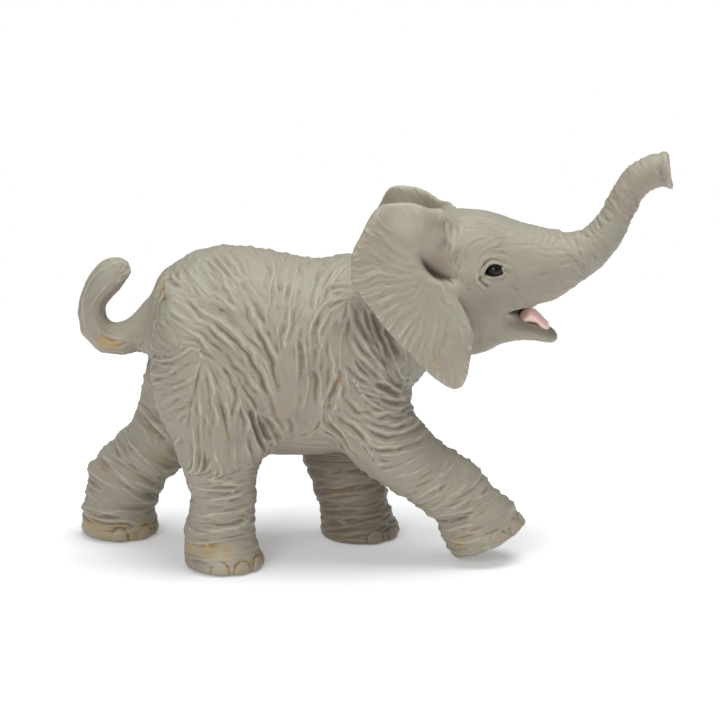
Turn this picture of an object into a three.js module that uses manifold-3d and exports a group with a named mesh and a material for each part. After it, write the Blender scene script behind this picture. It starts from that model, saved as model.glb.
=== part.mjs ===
// A moulded toy figure of a young African elephant, walking with its trunk raised.
// Millimetres. The elephant faces +X, its right side is towards -Y, and it stands on Z = 0.
// Sizes are set from the shoulder and the floor; the whole figure is centred on the origin last.
// Each sub-part is one closed solid, and the sub-parts meet at seams with a small gap.
import * as THREE from 'three';
import { mergeVertices } from 'three/addons/utils/BufferGeometryUtils.js';
import Module from 'manifold-3d';

const wasm = await Module();
wasm.setup();

// Room left between two mouldings at every seam
const SEAM_GAP = 0.3;

// Torso: from the rump at the back to the neck seam behind the ears
const RUMP_X = -39.6;
const TORSO_LENGTH = 49.4;
const TORSO_HEIGHT = 37.6;
const TORSO_WIDTH = 33;
const BELLY_HEIGHT = 17.6;

// Head: from the neck seam to the trunk seam
const HEAD_LENGTH = 21.2;
const HEAD_HEIGHT = 25;
const HEAD_WIDTH = 21;
const NECK_HEIGHT = 24;
const NECK_WIDTH = 21;
const NECK_LEAN = 26;

// Trunk: lifted and curled forward, from its root on the face to the tip
const TRUNK_LENGTH = 20.6;
const TRUNK_RISE = 17.8;
const TRUNK_ROOT_HEIGHT = 12.6;
const TRUNK_ROOT_WIDTH = 13;
const NOSTRIL_RADIUS = 0.8;
const NOSTRIL_DEPTH = 2.4;
const NOSTRIL_SPACING = 2.4;

// Lower jaw and tongue, below the open mouth
const JAW_LENGTH = 15.6;
const JAW_HEIGHT = 5.8;
const JAW_WIDTH = 13.4;
const JAW_DROP = 9.6;
const JAW_REACH = 6.6;
const TONGUE_LENGTH = 8;
const TONGUE_WIDTH = 5.6;
const TONGUE_THICKNESS = 2;
const TONGUE_REACH = 12.6;
const TONGUE_DROP = 5.6;

// Ears: thin fans that hang from the sides of the head
const EAR_HEIGHT = 31.7;
const EAR_THICKNESS = 2.2;
const EAR_ROOT_OFFSET = 8;
const RIGHT_EAR_LENGTH = 21.6;
const RIGHT_EAR_SPREAD = 9.4;
const RIGHT_EAR_REACH = 14.2;
const RIGHT_EAR_DROP = 12.2;
const LEFT_EAR_LENGTH = 17.3;
const LEFT_EAR_SPREAD = 12.6;
const LEFT_EAR_REACH = 10.9;
const LEFT_EAR_DROP = 14.2;

// Eyes: beads set in the sides of the head
const EYE_RADIUS = 1.75;
const EYE_REACH = 10.95;
const EYE_RISE = 7.1;
const EYE_OFFSET = 8.1;

// Tail: thick at the rump, curled up, with a tuft at the tip
const TAIL_LENGTH = 13.6;
const TAIL_RISE = 14;
const TAIL_THICKNESS = 9.6;
const TAIL_ROOT_HEIGHT = 42.9;
const TAIL_ROOT_DEPTH = 2.6;

// Hind legs
const HIND_LEG_SPACING = 22.4;
const HIND_THIGH_RISE = 32.9;
const HIND_LEG_DEPTH = 20;
const HIND_LEG_WIDTH = 16;
const HIP_REACH = 11.3;
const RIGHT_HIND_STRIDE = 1.9;
const LEFT_HIND_STRIDE = -16.7;

// Forelegs
const FORE_LEG_SPACING = 21.2;
const FORE_SHOULDER_RISE = 23.9;
const FORE_LEG_DEPTH = 17.6;
const FORE_LEG_WIDTH = 14;
const SHOULDER_REACH = 39.6;
const LEFT_FORE_STRIDE = -2.6;
const RIGHT_FORE_STRIDE = 20.8;
const RIGHT_FORE_OFFSET = 8.6;
const RIGHT_SOLE_LENGTH = 14.8;
const RIGHT_SOLE_TILT = 26.7;
const RIGHT_SOLE_INSET_SHARE = 0.13;
const RIGHT_SOLE_REACH_SHARE = 0.98;

// Moulded pegs that locate each piece in its neighbour
const NECK_PEG_RADIUS = 4.5;
const NECK_PEG_LENGTH = 4;
const TRUNK_PEG_RADIUS = 2.6;
const TRUNK_PEG_LENGTH = 3;
const LEG_PEG_RADIUS = 3;
const LEG_PEG_LENGTH = 9;
const EAR_PEG_RADIUS = 1.8;
const EAR_PEG_LENGTH = 4.4;
const TAIL_PEG_RADIUS = 2.2;
const TAIL_PEG_LENGTH = 4;

// Number of sides and steps of the rounded forms
const LIMB_SIDES = 18;
const LIMB_STEPS = 1;
const TORSO_SIDES = 28;
const TORSO_STEPS = 2;
const EAR_SIDES = 44;
const PEG_SIDES = 16;

const RIGHT = -1;
const LEFT = 1;

const lateral = new THREE.Vector3(0, 1, 0);
const radians = THREE.MathUtils.degToRad;

// Direction of a section's depth: straight up, leaned back by an angle in degrees
function depthDirection(lean) {
  return new THREE.Vector3(-Math.sin(radians(lean)), 0, Math.cos(radians(lean)));
}

// Direction square to a section, the way that a body with that lean runs
function runDirection(lean) {
  return new THREE.Vector3(Math.cos(radians(lean)), 0, Math.sin(radians(lean)));
}

// A station is a centre, a depth, a width and a lean; this adds in-between stations on smooth curves
function refine(stations, steps) {
  const centres = new THREE.CatmullRomCurve3(stations.map((s) => s.centre), false, 'catmullrom', 0.5);
  const sizes = new THREE.CatmullRomCurve3(
    stations.map((s) => new THREE.Vector3(s.depth, s.width, s.lean)), false, 'catmullrom', 0.5);
  const count = (stations.length - 1) * steps;
  return Array.from({ length: count + 1 }, (_, i) => {
    const size = sizes.getPoint(i / count);
    return { centre: centres.getPoint(i / count), depth: size.x, width: size.y, lean: size.z };
  });
}

// Points of one oval section, grown outwards by an extra amount all round
function sectionPoints(station, sides, extra) {
  const up = depthDirection(station.lean);
  return Array.from({ length: sides }, (_, i) => {
    const angle = (2 * Math.PI * i) / sides;
    return station.centre.clone()
      .addScaledVector(up, Math.cos(angle) * (station.depth / 2 + extra))
      .addScaledVector(lateral, Math.sin(angle) * (station.width / 2 + extra));
  });
}

// Closed surface through rings of points, with both ends fanned to their middles
function surfaceThrough(rings) {
  const sides = rings[0].length;
  const triangles = [];
  const add = (a, b, c) => triangles.push(a, b, c);
  for (let r = 0; r + 1 < rings.length; r += 1) {
    for (let i = 0; i < sides; i += 1) {
      const next = (i + 1) % sides;
      add(rings[r][i], rings[r][next], rings[r + 1][i]);
      add(rings[r][next], rings[r + 1][next], rings[r + 1][i]);
    }
  }
  const ends = [[rings[0], 1], [rings[rings.length - 1], -1]];
  for (const [ring, turn] of ends) {
    const middle = ring.reduce((sum, p) => sum.add(p), new THREE.Vector3()).divideScalar(sides);
    for (let i = 0; i < sides; i += 1) {
      const next = (i + 1) % sides;
      if (turn > 0) {
        add(middle, ring[next], ring[i]);
      } else {
        add(middle, ring[i], ring[next]);
      }
    }
  }
  return solidFrom(new THREE.BufferGeometry().setFromPoints(triangles));
}

// Volume inside a merged triangle mesh, negative where its faces look inwards
function signedVolume(positions, index) {
  const [a, b, c] = [new THREE.Vector3(), new THREE.Vector3(), new THREE.Vector3()];
  let volume = 0;
  for (let i = 0; i < index.length; i += 3) {
    a.fromArray(positions, 3 * index[i]);
    b.fromArray(positions, 3 * index[i + 1]);
    c.fromArray(positions, 3 * index[i + 2]);
    volume += a.dot(b.cross(c)) / 6;
  }
  return volume;
}

// A solid for joining and cutting, made from any closed three.js geometry
function solidFrom(geometry) {
  const bare = geometry.clone();
  bare.deleteAttribute('normal');
  bare.deleteAttribute('uv');
  const merged = mergeVertices(bare.index ? bare.toNonIndexed() : bare, SEAM_GAP / 1000);
  const index = Uint32Array.from(merged.index.array);
  const vertProperties = Float32Array.from(merged.attributes.position.array);
  if (signedVolume(vertProperties, index) < 0) {
    index.reverse();
  }
  return new wasm.Manifold(new wasm.Mesh({ numProp: 3, vertProperties, triVerts: index }));
}

// A body swept through stations; extra grows it all round and at both ends, to cut a seat for it
function body(stations, sides, steps, extra = 0) {
  const fine = refine(stations, steps);
  const rings = fine.map((station) => sectionPoints(station, sides, extra));
  if (extra > 0) {
    const first = fine[0];
    const last = fine[fine.length - 1];
    const before = sectionPoints(first, sides, extra);
    const after = sectionPoints(last, sides, extra);
    const back = fine[0].centre.clone().sub(fine[1].centre).setLength(extra);
    const on = last.centre.clone().sub(fine[fine.length - 2].centre).setLength(extra);
    rings.unshift(before.map((p) => p.add(back)));
    rings.push(after.map((p) => p.add(on)));
  }
  return surfaceThrough(rings);
}

function limb(stations) {
  return body(stations, LIMB_SIDES, LIMB_STEPS);
}

// Round peg between two points
function peg(from, to, radius) {
  const axis = to.clone().sub(from);
  const geometry = new THREE.CylinderGeometry(radius, radius, axis.length(), PEG_SIDES);
  geometry.applyQuaternion(new THREE.Quaternion().setFromUnitVectors(lateral, axis.clone().normalize()));
  geometry.translate(...from.clone().addScaledVector(axis, 0.5).toArray());
  return solidFrom(geometry);
}

// A peg and the larger socket that takes it, deeper than the peg by the seam gap
function pegAndSocket(from, to, radius) {
  const beyond = to.clone().sub(from).setLength(SEAM_GAP).add(to);
  return { pin: peg(from, to, radius), socket: peg(from, beyond, radius + SEAM_GAP) };
}

// Rows of shares: along, up, depth, width, and a lean in degrees
const torsoRowShares = [
  [0, 0.61, 0.12, 0.13, 0],
  [0.025, 0.605, 0.47, 0.5, 0],
  [0.08, 0.565, 0.68, 0.74, 0],
  [0.17, 0.537, 0.88, 0.9, 0],
  [0.295, 0.51, 0.98, 0.98, 0],
  [0.445, 0.486, 0.966, 1.005, 0],
  [0.6, 0.467, 0.923, 0.995, 2],
  [0.76, 0.513, 0.896, 0.95, 7],
  [0.84, 0.606, 0.702, 0.86, 12],
  [0.915, 0.7, 0.595, 0.76, 18],
];

const neck = {
  centre: new THREE.Vector3(RUMP_X + TORSO_LENGTH, 0, BELLY_HEIGHT + 0.76 * TORSO_HEIGHT),
  depth: NECK_HEIGHT,
  width: NECK_WIDTH,
  lean: NECK_LEAN,
};

function torsoStations() {
  const rows = torsoRowShares.map(([along, up, depth, width, lean]) => ({
    centre: new THREE.Vector3(RUMP_X + along * TORSO_LENGTH, 0, BELLY_HEIGHT + up * TORSO_HEIGHT),
    depth: depth * TORSO_HEIGHT,
    width: width * TORSO_WIDTH,
    lean,
  }));
  return [...rows, neck];
}

// Head rows, measured from the neck seam: along, up, depth, width, lean
const headRowShares = [
  [0.21, 0.092, 1.04, 1, 24],
  [0.42, 0.187, 0.94, 0.98, 21],
  [0.6, 0.24, 0.755, 0.885, 16],
  [0.78, 0.233, 0.606, 0.745, 9],
];

const trunkRoot = {
  centre: neck.centre.clone().add(new THREE.Vector3(HEAD_LENGTH, 0, 0.228 * HEAD_HEIGHT)),
  depth: TRUNK_ROOT_HEIGHT,
  width: TRUNK_ROOT_WIDTH,
  lean: 5,
};

// The same section, moved on along its run by the seam gap
function acrossSeam(station) {
  return { ...station, centre: station.centre.clone().addScaledVector(runDirection(station.lean), SEAM_GAP) };
}

function headStations() {
  const rows = headRowShares.map(([along, up, depth, width, lean]) => ({
    centre: neck.centre.clone().add(new THREE.Vector3(along * HEAD_LENGTH, 0, up * HEAD_HEIGHT)),
    depth: depth * HEAD_HEIGHT,
    width: width * HEAD_WIDTH,
    lean,
  }));
  return [acrossSeam(neck), ...rows, trunkRoot];
}

// Trunk rows, measured from its root: along, up, depth, width, lean
const trunkRowShares = [
  [0.165, 0.06, 0.765, 0.81, 12],
  [0.335, 0.158, 0.6, 0.66, 27],
  [0.46, 0.322, 0.521, 0.565, 45],
  [0.549, 0.51, 0.458, 0.5, 58],
  [0.621, 0.713, 0.444, 0.465, 58],
  [0.719, 0.865, 0.484, 0.46, 48],
  [0.832, 0.94, 0.486, 0.445, 30],
  [0.933, 0.96, 0.565, 0.45, 12],
  [1.008, 0.957, 0.535, 0.477, 8],
];

function trunkStations() {
  const rows = trunkRowShares.map(([along, up, depth, width, lean]) => ({
    centre: trunkRoot.centre.clone().add(new THREE.Vector3(along * TRUNK_LENGTH, 0, up * TRUNK_RISE)),
    depth: depth * TRUNK_ROOT_HEIGHT,
    width: width * TRUNK_ROOT_WIDTH,
    lean,
  }));
  return [acrossSeam(trunkRoot), ...rows];
}

// Jaw rows, from its root to its drooping tip: along, up, depth, width, lean
const jawRowShares = [
  [0, 0.3, 0.98, 0.76, 14],
  [0.17, 0.5, 1.06, 0.92, 12],
  [0.36, 0.76, 1.02, 1, 4],
  [0.55, 0.77, 0.86, 0.9, -4],
  [0.71, 0.66, 0.62, 0.76, -14],
  [0.87, 0.49, 0.47, 0.56, -20],
  [0.96, 0.37, 0.39, 0.38, -26],
  [1, 0.3, 0.22, 0.18, -30],
];

function jawStations() {
  const base = neck.centre.clone().add(new THREE.Vector3(JAW_REACH, 0, -JAW_DROP));
  return jawRowShares.map(([along, up, depth, width, lean]) => ({
    centre: base.clone().add(new THREE.Vector3(along * JAW_LENGTH, 0, up * JAW_HEIGHT)),
    depth: depth * JAW_HEIGHT,
    width: width * JAW_WIDTH,
    lean,
  }));
}

// Tongue rows, measured from its root and arched: along, up, depth, width, lean
const tongueRowShares = [
  [0, 0, 0.6, 0.7, 32],
  [0.15, 0.09, 0.95, 0.9, 30],
  [0.36, 0.21, 1, 1, 22],
  [0.58, 0.27, 1, 1, 2],
  [0.78, 0.23, 0.95, 0.96, -24],
  [0.93, 0.13, 0.8, 0.8, -38],
  [1, 0.06, 0.45, 0.45, -42],
];

function tongueStations() {
  const root = neck.centre.clone().add(new THREE.Vector3(TONGUE_REACH, 0, -TONGUE_DROP));
  return tongueRowShares.map(([along, up, depth, width, lean]) => ({
    centre: root.clone().add(new THREE.Vector3(along * TONGUE_LENGTH, 0, up * TONGUE_LENGTH)),
    depth: depth * TONGUE_THICKNESS,
    width: width * TONGUE_WIDTH,
    lean,
  }));
}

// Tail rows, measured from its root: back, up, thickness
const tailRowShares = [
  [0, -0.03, 1],
  [0.2, -0.17, 0.81],
  [0.38, -0.269, 0.66],
  [0.567, -0.314, 0.615],
  [0.767, -0.301, 0.58],
  [0.902, -0.157, 0.58],
  [0.947, 0.038, 0.52],
  [0.902, 0.207, 0.53],
  [0.799, 0.383, 0.6],
  [0.684, 0.513, 0.62],
  [0.567, 0.588, 0.51],
  [0.447, 0.618, 0.24],
];

function tailStations() {
  const root = new THREE.Vector3(RUMP_X + TAIL_ROOT_DEPTH, 0, TAIL_ROOT_HEIGHT);
  const centres = tailRowShares.map(([back, up]) => (
    root.clone().add(new THREE.Vector3(-back * TAIL_LENGTH, 0, up * TAIL_RISE))));
  let lean = 180;
  return tailRowShares.map(([, , thickness], i) => {
    const before = centres[Math.max(i - 1, 0)];
    const after = centres[Math.min(i + 1, centres.length - 1)];
    const run = after.clone().sub(before);
    const turn = THREE.MathUtils.radToDeg(Math.atan2(run.z, run.x));
    lean -= ((((lean - turn) % 360) + 540) % 360) - 180;
    return { centre: centres[i], depth: thickness * TAIL_THICKNESS, width: thickness * TAIL_THICKNESS, lean };
  });
}

// Hip rows that both hind legs share: height, stride, bow, depth, width, inset
const hipRowShares = [
  [0.79, 0, -0.06, 0.97, 0.94, 0.25],
  [0.89, 0, -0.13, 0.76, 0.78, 0.34],
  [0.97, 0, -0.17, 0.48, 0.5, 0.43],
  [1, 0, -0.18, 0.2, 0.2, 0.46],
];

const rightHindRowShares = [
  [0, 1, 0, 0.72, 0.85, 0],
  [0.025, 1, 0, 0.735, 0.87, 0],
  [0.08, 1, -0.03, 0.66, 0.79, 0],
  [0.14, 1, -0.055, 0.63, 0.76, 0],
  [0.2, 1, -0.025, 0.59, 0.74, 0],
  [0.26, 1, -0.005, 0.585, 0.75, 0],
  [0.32, 1, -0.025, 0.63, 0.79, 0],
  [0.38, 0.8, -0.016, 0.73, 0.85, 0.02],
  [0.46, 0.6, 0.028, 0.9, 0.94, 0.07],
  [0.56, 0.04, 0.02, 1.06, 1, 0.12],
  [0.68, 0, 0, 1.08, 1.01, 0.18],
  ...hipRowShares,
];

const leftHindRowShares = [
  [0, 1, -0.03, 0.7, 0.85, 0.33],
  [0.025, 1, -0.03, 0.72, 0.87, 0.33],
  [0.08, 0.99, -0.038, 0.657, 0.78, 0.33],
  [0.14, 0.97, -0.05, 0.642, 0.78, 0.33],
  [0.19, 0.89, -0.058, 0.683, 0.8, 0.33],
  [0.24, 0.82, -0.045, 0.853, 0.84, 0.29],
  [0.3, 0.71, -0.037, 0.83, 0.85, 0.28],
  [0.36, 0.545, -0.025, 0.775, 0.85, 0.26],
  [0.42, 0.377, -0.02, 0.81, 0.88, 0.25],
  [0.49, 0.25, 0, 0.96, 0.94, 0.23],
  [0.57, 0.13, 0, 1.08, 1, 0.22],
  [0.68, 0.04, 0, 1.1, 1.01, 0.21],
  ...hipRowShares,
];

const leftForeRowShares = [
  [0, 1, 0, 0.81, 0.97, 0.49],
  [0.03, 1, 0, 0.83, 1, 0.49],
  [0.1, 1, -0.033, 0.755, 0.89, 0.49],
  [0.17, 1, -0.07, 0.72, 0.86, 0.49],
  [0.23, 1, -0.1, 0.74, 0.87, 0.48],
  [0.29, 1, -0.125, 0.85, 0.91, 0.43],
  [0.36, 0.9, -0.135, 0.97, 0.96, 0.4],
  [0.46, 0.7, -0.105, 1.03, 0.985, 0.34],
  [0.58, 0.35, -0.085, 0.93, 0.97, 0.24],
  [0.72, 0, -0.09, 0.86, 0.91, 0.18],
  [0.87, 0, -0.03, 0.72, 0.77, 0.16],
  [0.96, 0, 0.03, 0.5, 0.5, 0.15],
  [1, 0, 0.05, 0.23, 0.24, 0.15],
];

// A leg cut by level sections, from its flat sole up to its root in the torso
function levelLegStations(rowShares, side, at) {
  return rowShares.map(([up, stride, bow, depth, width, inset]) => ({
    centre: new THREE.Vector3(
      at.rootX + stride * at.stride + bow * at.depth,
      side * (at.spacing / 2 - inset * at.width * 0.6),
      up * at.height),
    depth: depth * at.depth,
    width: width * at.width,
    lean: -90,
  }));
}

const hindLeg = {
  rootX: RUMP_X + HIP_REACH,
  spacing: HIND_LEG_SPACING,
  height: BELLY_HEIGHT + HIND_THIGH_RISE,
  depth: HIND_LEG_DEPTH,
  width: HIND_LEG_WIDTH,
};

const foreLeg = {
  rootX: RUMP_X + SHOULDER_REACH,
  spacing: FORE_LEG_SPACING,
  height: BELLY_HEIGHT + FORE_SHOULDER_RISE,
  depth: FORE_LEG_DEPTH,
  width: FORE_LEG_WIDTH,
};

// Right foreleg rows, from its root to above the sole: height, reach, depth, width, lean, inset
const rightForeRowShares = [
  [0.93, -0.07, 0.45, 0.43, -95, 0],
  [0.82, -0.06, 0.82, 0.75, -95, 0],
  [0.7, -0.08, 0.86, 0.9, -85, 0],
  [0.59, 0.005, 0.89, 0.93, -72, 0],
  [0.485, 0.19, 0.765, 0.91, -58, 0.02],
  [0.397, 0.41, 0.69, 0.84, -48, 0.05],
  [0.333, 0.618, 0.72, 0.84, -47, 0.07],
  [0.24, 0.765, 0.68, 0.87, -52, 0.1],
  [0.155, 0.893, 0.8, 0.89, -58, 0.12],
];

function rightForeStations() {
  const inward = (inset) => RIGHT * (RIGHT_FORE_OFFSET - inset * FORE_LEG_WIDTH);
  const rows = rightForeRowShares.map(([up, reach, depth, width, lean, inset]) => ({
    centre: new THREE.Vector3(
      foreLeg.rootX + reach * RIGHT_FORE_STRIDE, inward(inset), up * foreLeg.height),
    depth: depth * FORE_LEG_DEPTH,
    width: width * FORE_LEG_WIDTH,
    lean,
  }));
  const heelRise = (RIGHT_SOLE_LENGTH / 2) * Math.sin(radians(RIGHT_SOLE_TILT));
  const sole = {
    centre: new THREE.Vector3(
      foreLeg.rootX + RIGHT_SOLE_REACH_SHARE * RIGHT_FORE_STRIDE, inward(RIGHT_SOLE_INSET_SHARE), heelRise),
    depth: RIGHT_SOLE_LENGTH,
    width: 0.89 * FORE_LEG_WIDTH,
    lean: RIGHT_SOLE_TILT - 90,
  };
  return [...rows, sole];
}

// Ear outline, as shares of its length, height and spread, from the top of its root and round
const earOutlineShares = [
  [0.74, 0.93, 0.02],
  [0.65, 0.955, 0.08],
  [0.53, 0.99, 0.12],
  [0.41, 1, 0.16],
  [0.27, 0.996, 0.22],
  [0.197, 0.968, 0.3],
  [0.14, 0.912, 0.38],
  [0.07, 0.82, 0.5],
  [0.008, 0.74, 0.6],
  [0, 0.66, 0.68],
  [0.01, 0.58, 0.75],
  [0.08, 0.515, 0.8],
  [0.18, 0.43, 0.86],
  [0.32, 0.31, 0.92],
  [0.41, 0.25, 0.95],
  [0.5, 0.185, 0.97],
  [0.6, 0.11, 0.99],
  [0.7, 0.055, 1],
  [0.78, 0.015, 1],
  [0.85, 0, 0.98],
  [0.91, 0.02, 0.96],
  [0.95, 0.085, 0.92],
  [0.975, 0.19, 0.84],
  [1, 0.28, 0.74],
  [0.96, 0.37, 0.62],
  [0.9, 0.44, 0.5],
  [0.84, 0.5, 0.4],
  [0.78, 0.56, 0.3],
  [0.76, 0.66, 0.2],
  [0.77, 0.8, 0.08],
];

// Place of the ear's root as shares of its length and height, and the ear's thickness out to its rim
const earRootShares = [0.66, 0.64, 0.31];
const earRingShares = [[0.2, 1.25], [0.45, 1.1], [0.7, 1], [0.9, 0.9], [0.98, 0.7], [1, 0.35]];

// Where the front of the left ear, which stands further out, runs on into the crown
const leftBrowShares = [[0.885, 0.84, -0.1], [0.895, 0.92, -0.2], [0.815, 0.938, -0.1]];

const rightEar = {
  side: RIGHT,
  length: RIGHT_EAR_LENGTH,
  spread: RIGHT_EAR_SPREAD,
  reach: RIGHT_EAR_REACH,
  drop: RIGHT_EAR_DROP,
  outline: earOutlineShares,
};

const leftEar = {
  side: LEFT,
  length: LEFT_EAR_LENGTH,
  spread: LEFT_EAR_SPREAD,
  reach: LEFT_EAR_REACH,
  drop: LEFT_EAR_DROP,
  outline: [...earOutlineShares, ...leftBrowShares],
};

// A point of an ear, from its shares along, up and out
function earPoint(ear, [along, up, out]) {
  return neck.centre.clone().add(new THREE.Vector3(
    along * ear.length - ear.reach,
    ear.side * (EAR_ROOT_OFFSET + out * ear.spread),
    up * EAR_HEIGHT - ear.drop));
}

// Ear sheet: rings between its root and its outline, outside and inside
function earSolid(ear) {
  const outline = new THREE.CatmullRomCurve3(
    ear.outline.map((share) => earPoint(ear, share)), true, 'catmullrom', 0.5);
  const root = earPoint(ear, earRootShares);
  const rim = Array.from({ length: EAR_SIDES }, (_, i) => outline.getPoint(i / EAR_SIDES));
  const ring = ([share, thickness], face) => rim.map((p) => {
    const point = root.clone().lerp(p, share);
    point.y = root.y + (p.y - root.y) * share ** 0.7;
    return point.addScaledVector(lateral, (face * ear.side * thickness * EAR_THICKNESS) / 2);
  });
  const outer = earRingShares.map((row) => ring(row, 1));
  const inner = earRingShares.map((row) => ring(row, -1)).reverse();
  return surfaceThrough([...outer, ...inner]);
}

function eyeSolid(side, extra = 0) {
  const geometry = new THREE.SphereGeometry(EYE_RADIUS + extra, 24, 16);
  geometry.translate(neck.centre.x + EYE_REACH, side * EYE_OFFSET, neck.centre.z + EYE_RISE);
  return solidFrom(geometry);
}

// Solids before they are fitted to each other
const torsoForm = body(torsoStations(), TORSO_SIDES, TORSO_STEPS);
const torsoSeat = body(torsoStations(), TORSO_SIDES, TORSO_STEPS, SEAM_GAP);
const headForm = body(headStations(), TORSO_SIDES, TORSO_STEPS);
const headSeat = body(headStations(), TORSO_SIDES, TORSO_STEPS, SEAM_GAP);
const tongueForm = limb(tongueStations());
const tongueSeat = body(tongueStations(), LIMB_SIDES, LIMB_STEPS, SEAM_GAP);
const jawForm = limb(jawStations());
const jawSeat = body(jawStations(), LIMB_SIDES, LIMB_STEPS, SEAM_GAP);

// Pegs and sockets
const neckRun = runDirection(NECK_LEAN);
const neckJoint = pegAndSocket(
  neck.centre.clone().addScaledVector(neckRun, -NECK_PEG_LENGTH / 2),
  neck.centre.clone().addScaledVector(neckRun, NECK_PEG_LENGTH), NECK_PEG_RADIUS);

const trunkRun = runDirection(trunkRoot.lean);
const trunkJoint = pegAndSocket(
  trunkRoot.centre.clone().addScaledVector(trunkRun, TRUNK_PEG_LENGTH / 2),
  trunkRoot.centre.clone().addScaledVector(trunkRun, -TRUNK_PEG_LENGTH), TRUNK_PEG_RADIUS);

const tailRoot = tailStations()[0].centre;
const tailJoint = pegAndSocket(
  tailRoot.clone().add(new THREE.Vector3(-TAIL_ROOT_DEPTH - SEAM_GAP, 0, 0)),
  tailRoot.clone().add(new THREE.Vector3(TAIL_PEG_LENGTH, 0, 0)), TAIL_PEG_RADIUS);

// Upright peg on top of a leg, where the leg goes into the underside of the torso
function legJoint(x, y) {
  const foot = new THREE.Vector3(x, y, BELLY_HEIGHT + LEG_PEG_RADIUS / 2);
  return pegAndSocket(foot, foot.clone().add(new THREE.Vector3(0, 0, LEG_PEG_LENGTH)), LEG_PEG_RADIUS);
}

const rightHindJoint = legJoint(hindLeg.rootX + RIGHT_HIND_STRIDE, (RIGHT * HIND_LEG_SPACING) / 2.2);
const leftHindJoint = legJoint(hindLeg.rootX + 0.3 * LEFT_HIND_STRIDE, (LEFT * HIND_LEG_SPACING) / 2.2);
const rightForeJoint = legJoint(foreLeg.rootX + 0.15 * RIGHT_FORE_STRIDE, RIGHT * RIGHT_FORE_OFFSET);
const leftForeJoint = legJoint(foreLeg.rootX + LEFT_FORE_STRIDE, (LEFT * FORE_LEG_SPACING) / 2.2);

function earJoint(ear) {
  const root = earPoint(ear, earRootShares);
  const inner = root.clone().addScaledVector(lateral, -ear.side * EAR_PEG_LENGTH);
  return pegAndSocket(root, inner, EAR_PEG_RADIUS);
}

const rightEarJoint = earJoint(rightEar);
const leftEarJoint = earJoint(leftEar);

// One limb: its form, cleared from its neighbours, with its peg
function fitted(form, seats, joint) {
  return seats.reduce((solid, seat) => solid.subtract(seat), form).add(joint.pin);
}

function nostrils() {
  const stations = trunkStations();
  const tip = stations[stations.length - 1];
  const run = runDirection(tip.lean);
  return [RIGHT, LEFT].map((side) => {
    const middle = tip.centre.clone().addScaledVector(lateral, (side * NOSTRIL_SPACING) / 2);
    return peg(
      middle.clone().addScaledVector(run, -NOSTRIL_DEPTH),
      middle.clone().addScaledVector(run, NOSTRIL_DEPTH), NOSTRIL_RADIUS);
  });
}

const solids = {
  torso: [rightHindJoint, leftHindJoint, rightForeJoint, leftForeJoint, tailJoint]
    .reduce((solid, joint) => solid.subtract(joint.socket), torsoForm).add(neckJoint.pin),
  head: [neckJoint, trunkJoint, rightEarJoint, leftEarJoint]
    .reduce((solid, joint) => solid.subtract(joint.socket), headForm)
    .subtract(jawSeat).subtract(eyeSolid(RIGHT, SEAM_GAP)).subtract(eyeSolid(LEFT, SEAM_GAP)),
  trunk: nostrils().reduce((solid, hole) => solid.subtract(hole), limb(trunkStations())).add(trunkJoint.pin),
  lower_jaw: jawForm.subtract(torsoSeat).subtract(tongueSeat),
  tongue: tongueForm.subtract(headSeat),
  right_ear: fitted(earSolid(rightEar), [headSeat, torsoSeat], rightEarJoint),
  left_ear: fitted(earSolid(leftEar), [headSeat, torsoSeat], leftEarJoint),
  right_eye: eyeSolid(RIGHT),
  left_eye: eyeSolid(LEFT),
  tail: fitted(limb(tailStations()), [torsoSeat], tailJoint),
  right_hind_leg: fitted(
    limb(levelLegStations(rightHindRowShares, RIGHT, { ...hindLeg, stride: RIGHT_HIND_STRIDE })),
    [torsoSeat], rightHindJoint),
  left_hind_leg: fitted(
    limb(levelLegStations(leftHindRowShares, LEFT, { ...hindLeg, stride: LEFT_HIND_STRIDE })),
    [torsoSeat], leftHindJoint),
  right_front_leg: fitted(limb(rightForeStations()), [torsoSeat], rightForeJoint),
  left_front_leg: fitted(
    limb(levelLegStations(leftForeRowShares, LEFT, { ...foreLeg, stride: LEFT_FORE_STRIDE })),
    [torsoSeat], leftForeJoint),
};

// Paints: warm grey skin, pink mouth, glossy black eyes
const SKIN = { color: 0xa69f8f, roughness: 0.62, metalness: 0 };
const TONGUE = { color: 0xd9aea6, roughness: 0.5, metalness: 0 };
const EYE = { color: 0x17181a, roughness: 0.12, metalness: 0 };
const paints = { tongue: TONGUE, right_eye: EYE, left_eye: EYE };

// Geometry with flat facets from a finished solid
function geometryFrom(solid) {
  const mesh = solid.getMesh();
  const geometry = new THREE.BufferGeometry();
  geometry.setAttribute('position', new THREE.BufferAttribute(new Float32Array(mesh.vertProperties), 3));
  geometry.setIndex(new THREE.BufferAttribute(new Uint32Array(mesh.triVerts), 1));
  geometry.computeVertexNormals();
  return geometry;
}

const elephant = new THREE.Group();
for (const [name, solid] of Object.entries(solids)) {
  const mesh = new THREE.Mesh(geometryFrom(solid), new THREE.MeshStandardMaterial(paints[name] ?? SKIN));
  mesh.name = name;
  elephant.add(mesh);
}

// The origin lies on the floor, under the middle of the figure's outline
const bounds = new THREE.Box3().setFromObject(elephant);
const middle = bounds.getCenter(new THREE.Vector3());
elephant.position.set(-middle.x, -middle.y, -bounds.min.z);

export default elephant;
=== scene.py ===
# %% [markdown]
# # A toy elephant calf in painted vinyl
# The real figure is moulded from soft PVC, about 105 mm long, sprayed grey-beige and then washed
# with brown so that the folds of the skin stay dark. It has no joints.
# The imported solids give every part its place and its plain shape. This lesson lays a wrinkled,
# painted skin over them, adds the eyes and the tongue, and lights the figure as a studio would.

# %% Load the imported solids
import math

import bpy
import numpy as np
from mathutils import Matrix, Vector
from mathutils.bvhtree import BVHTree


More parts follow.
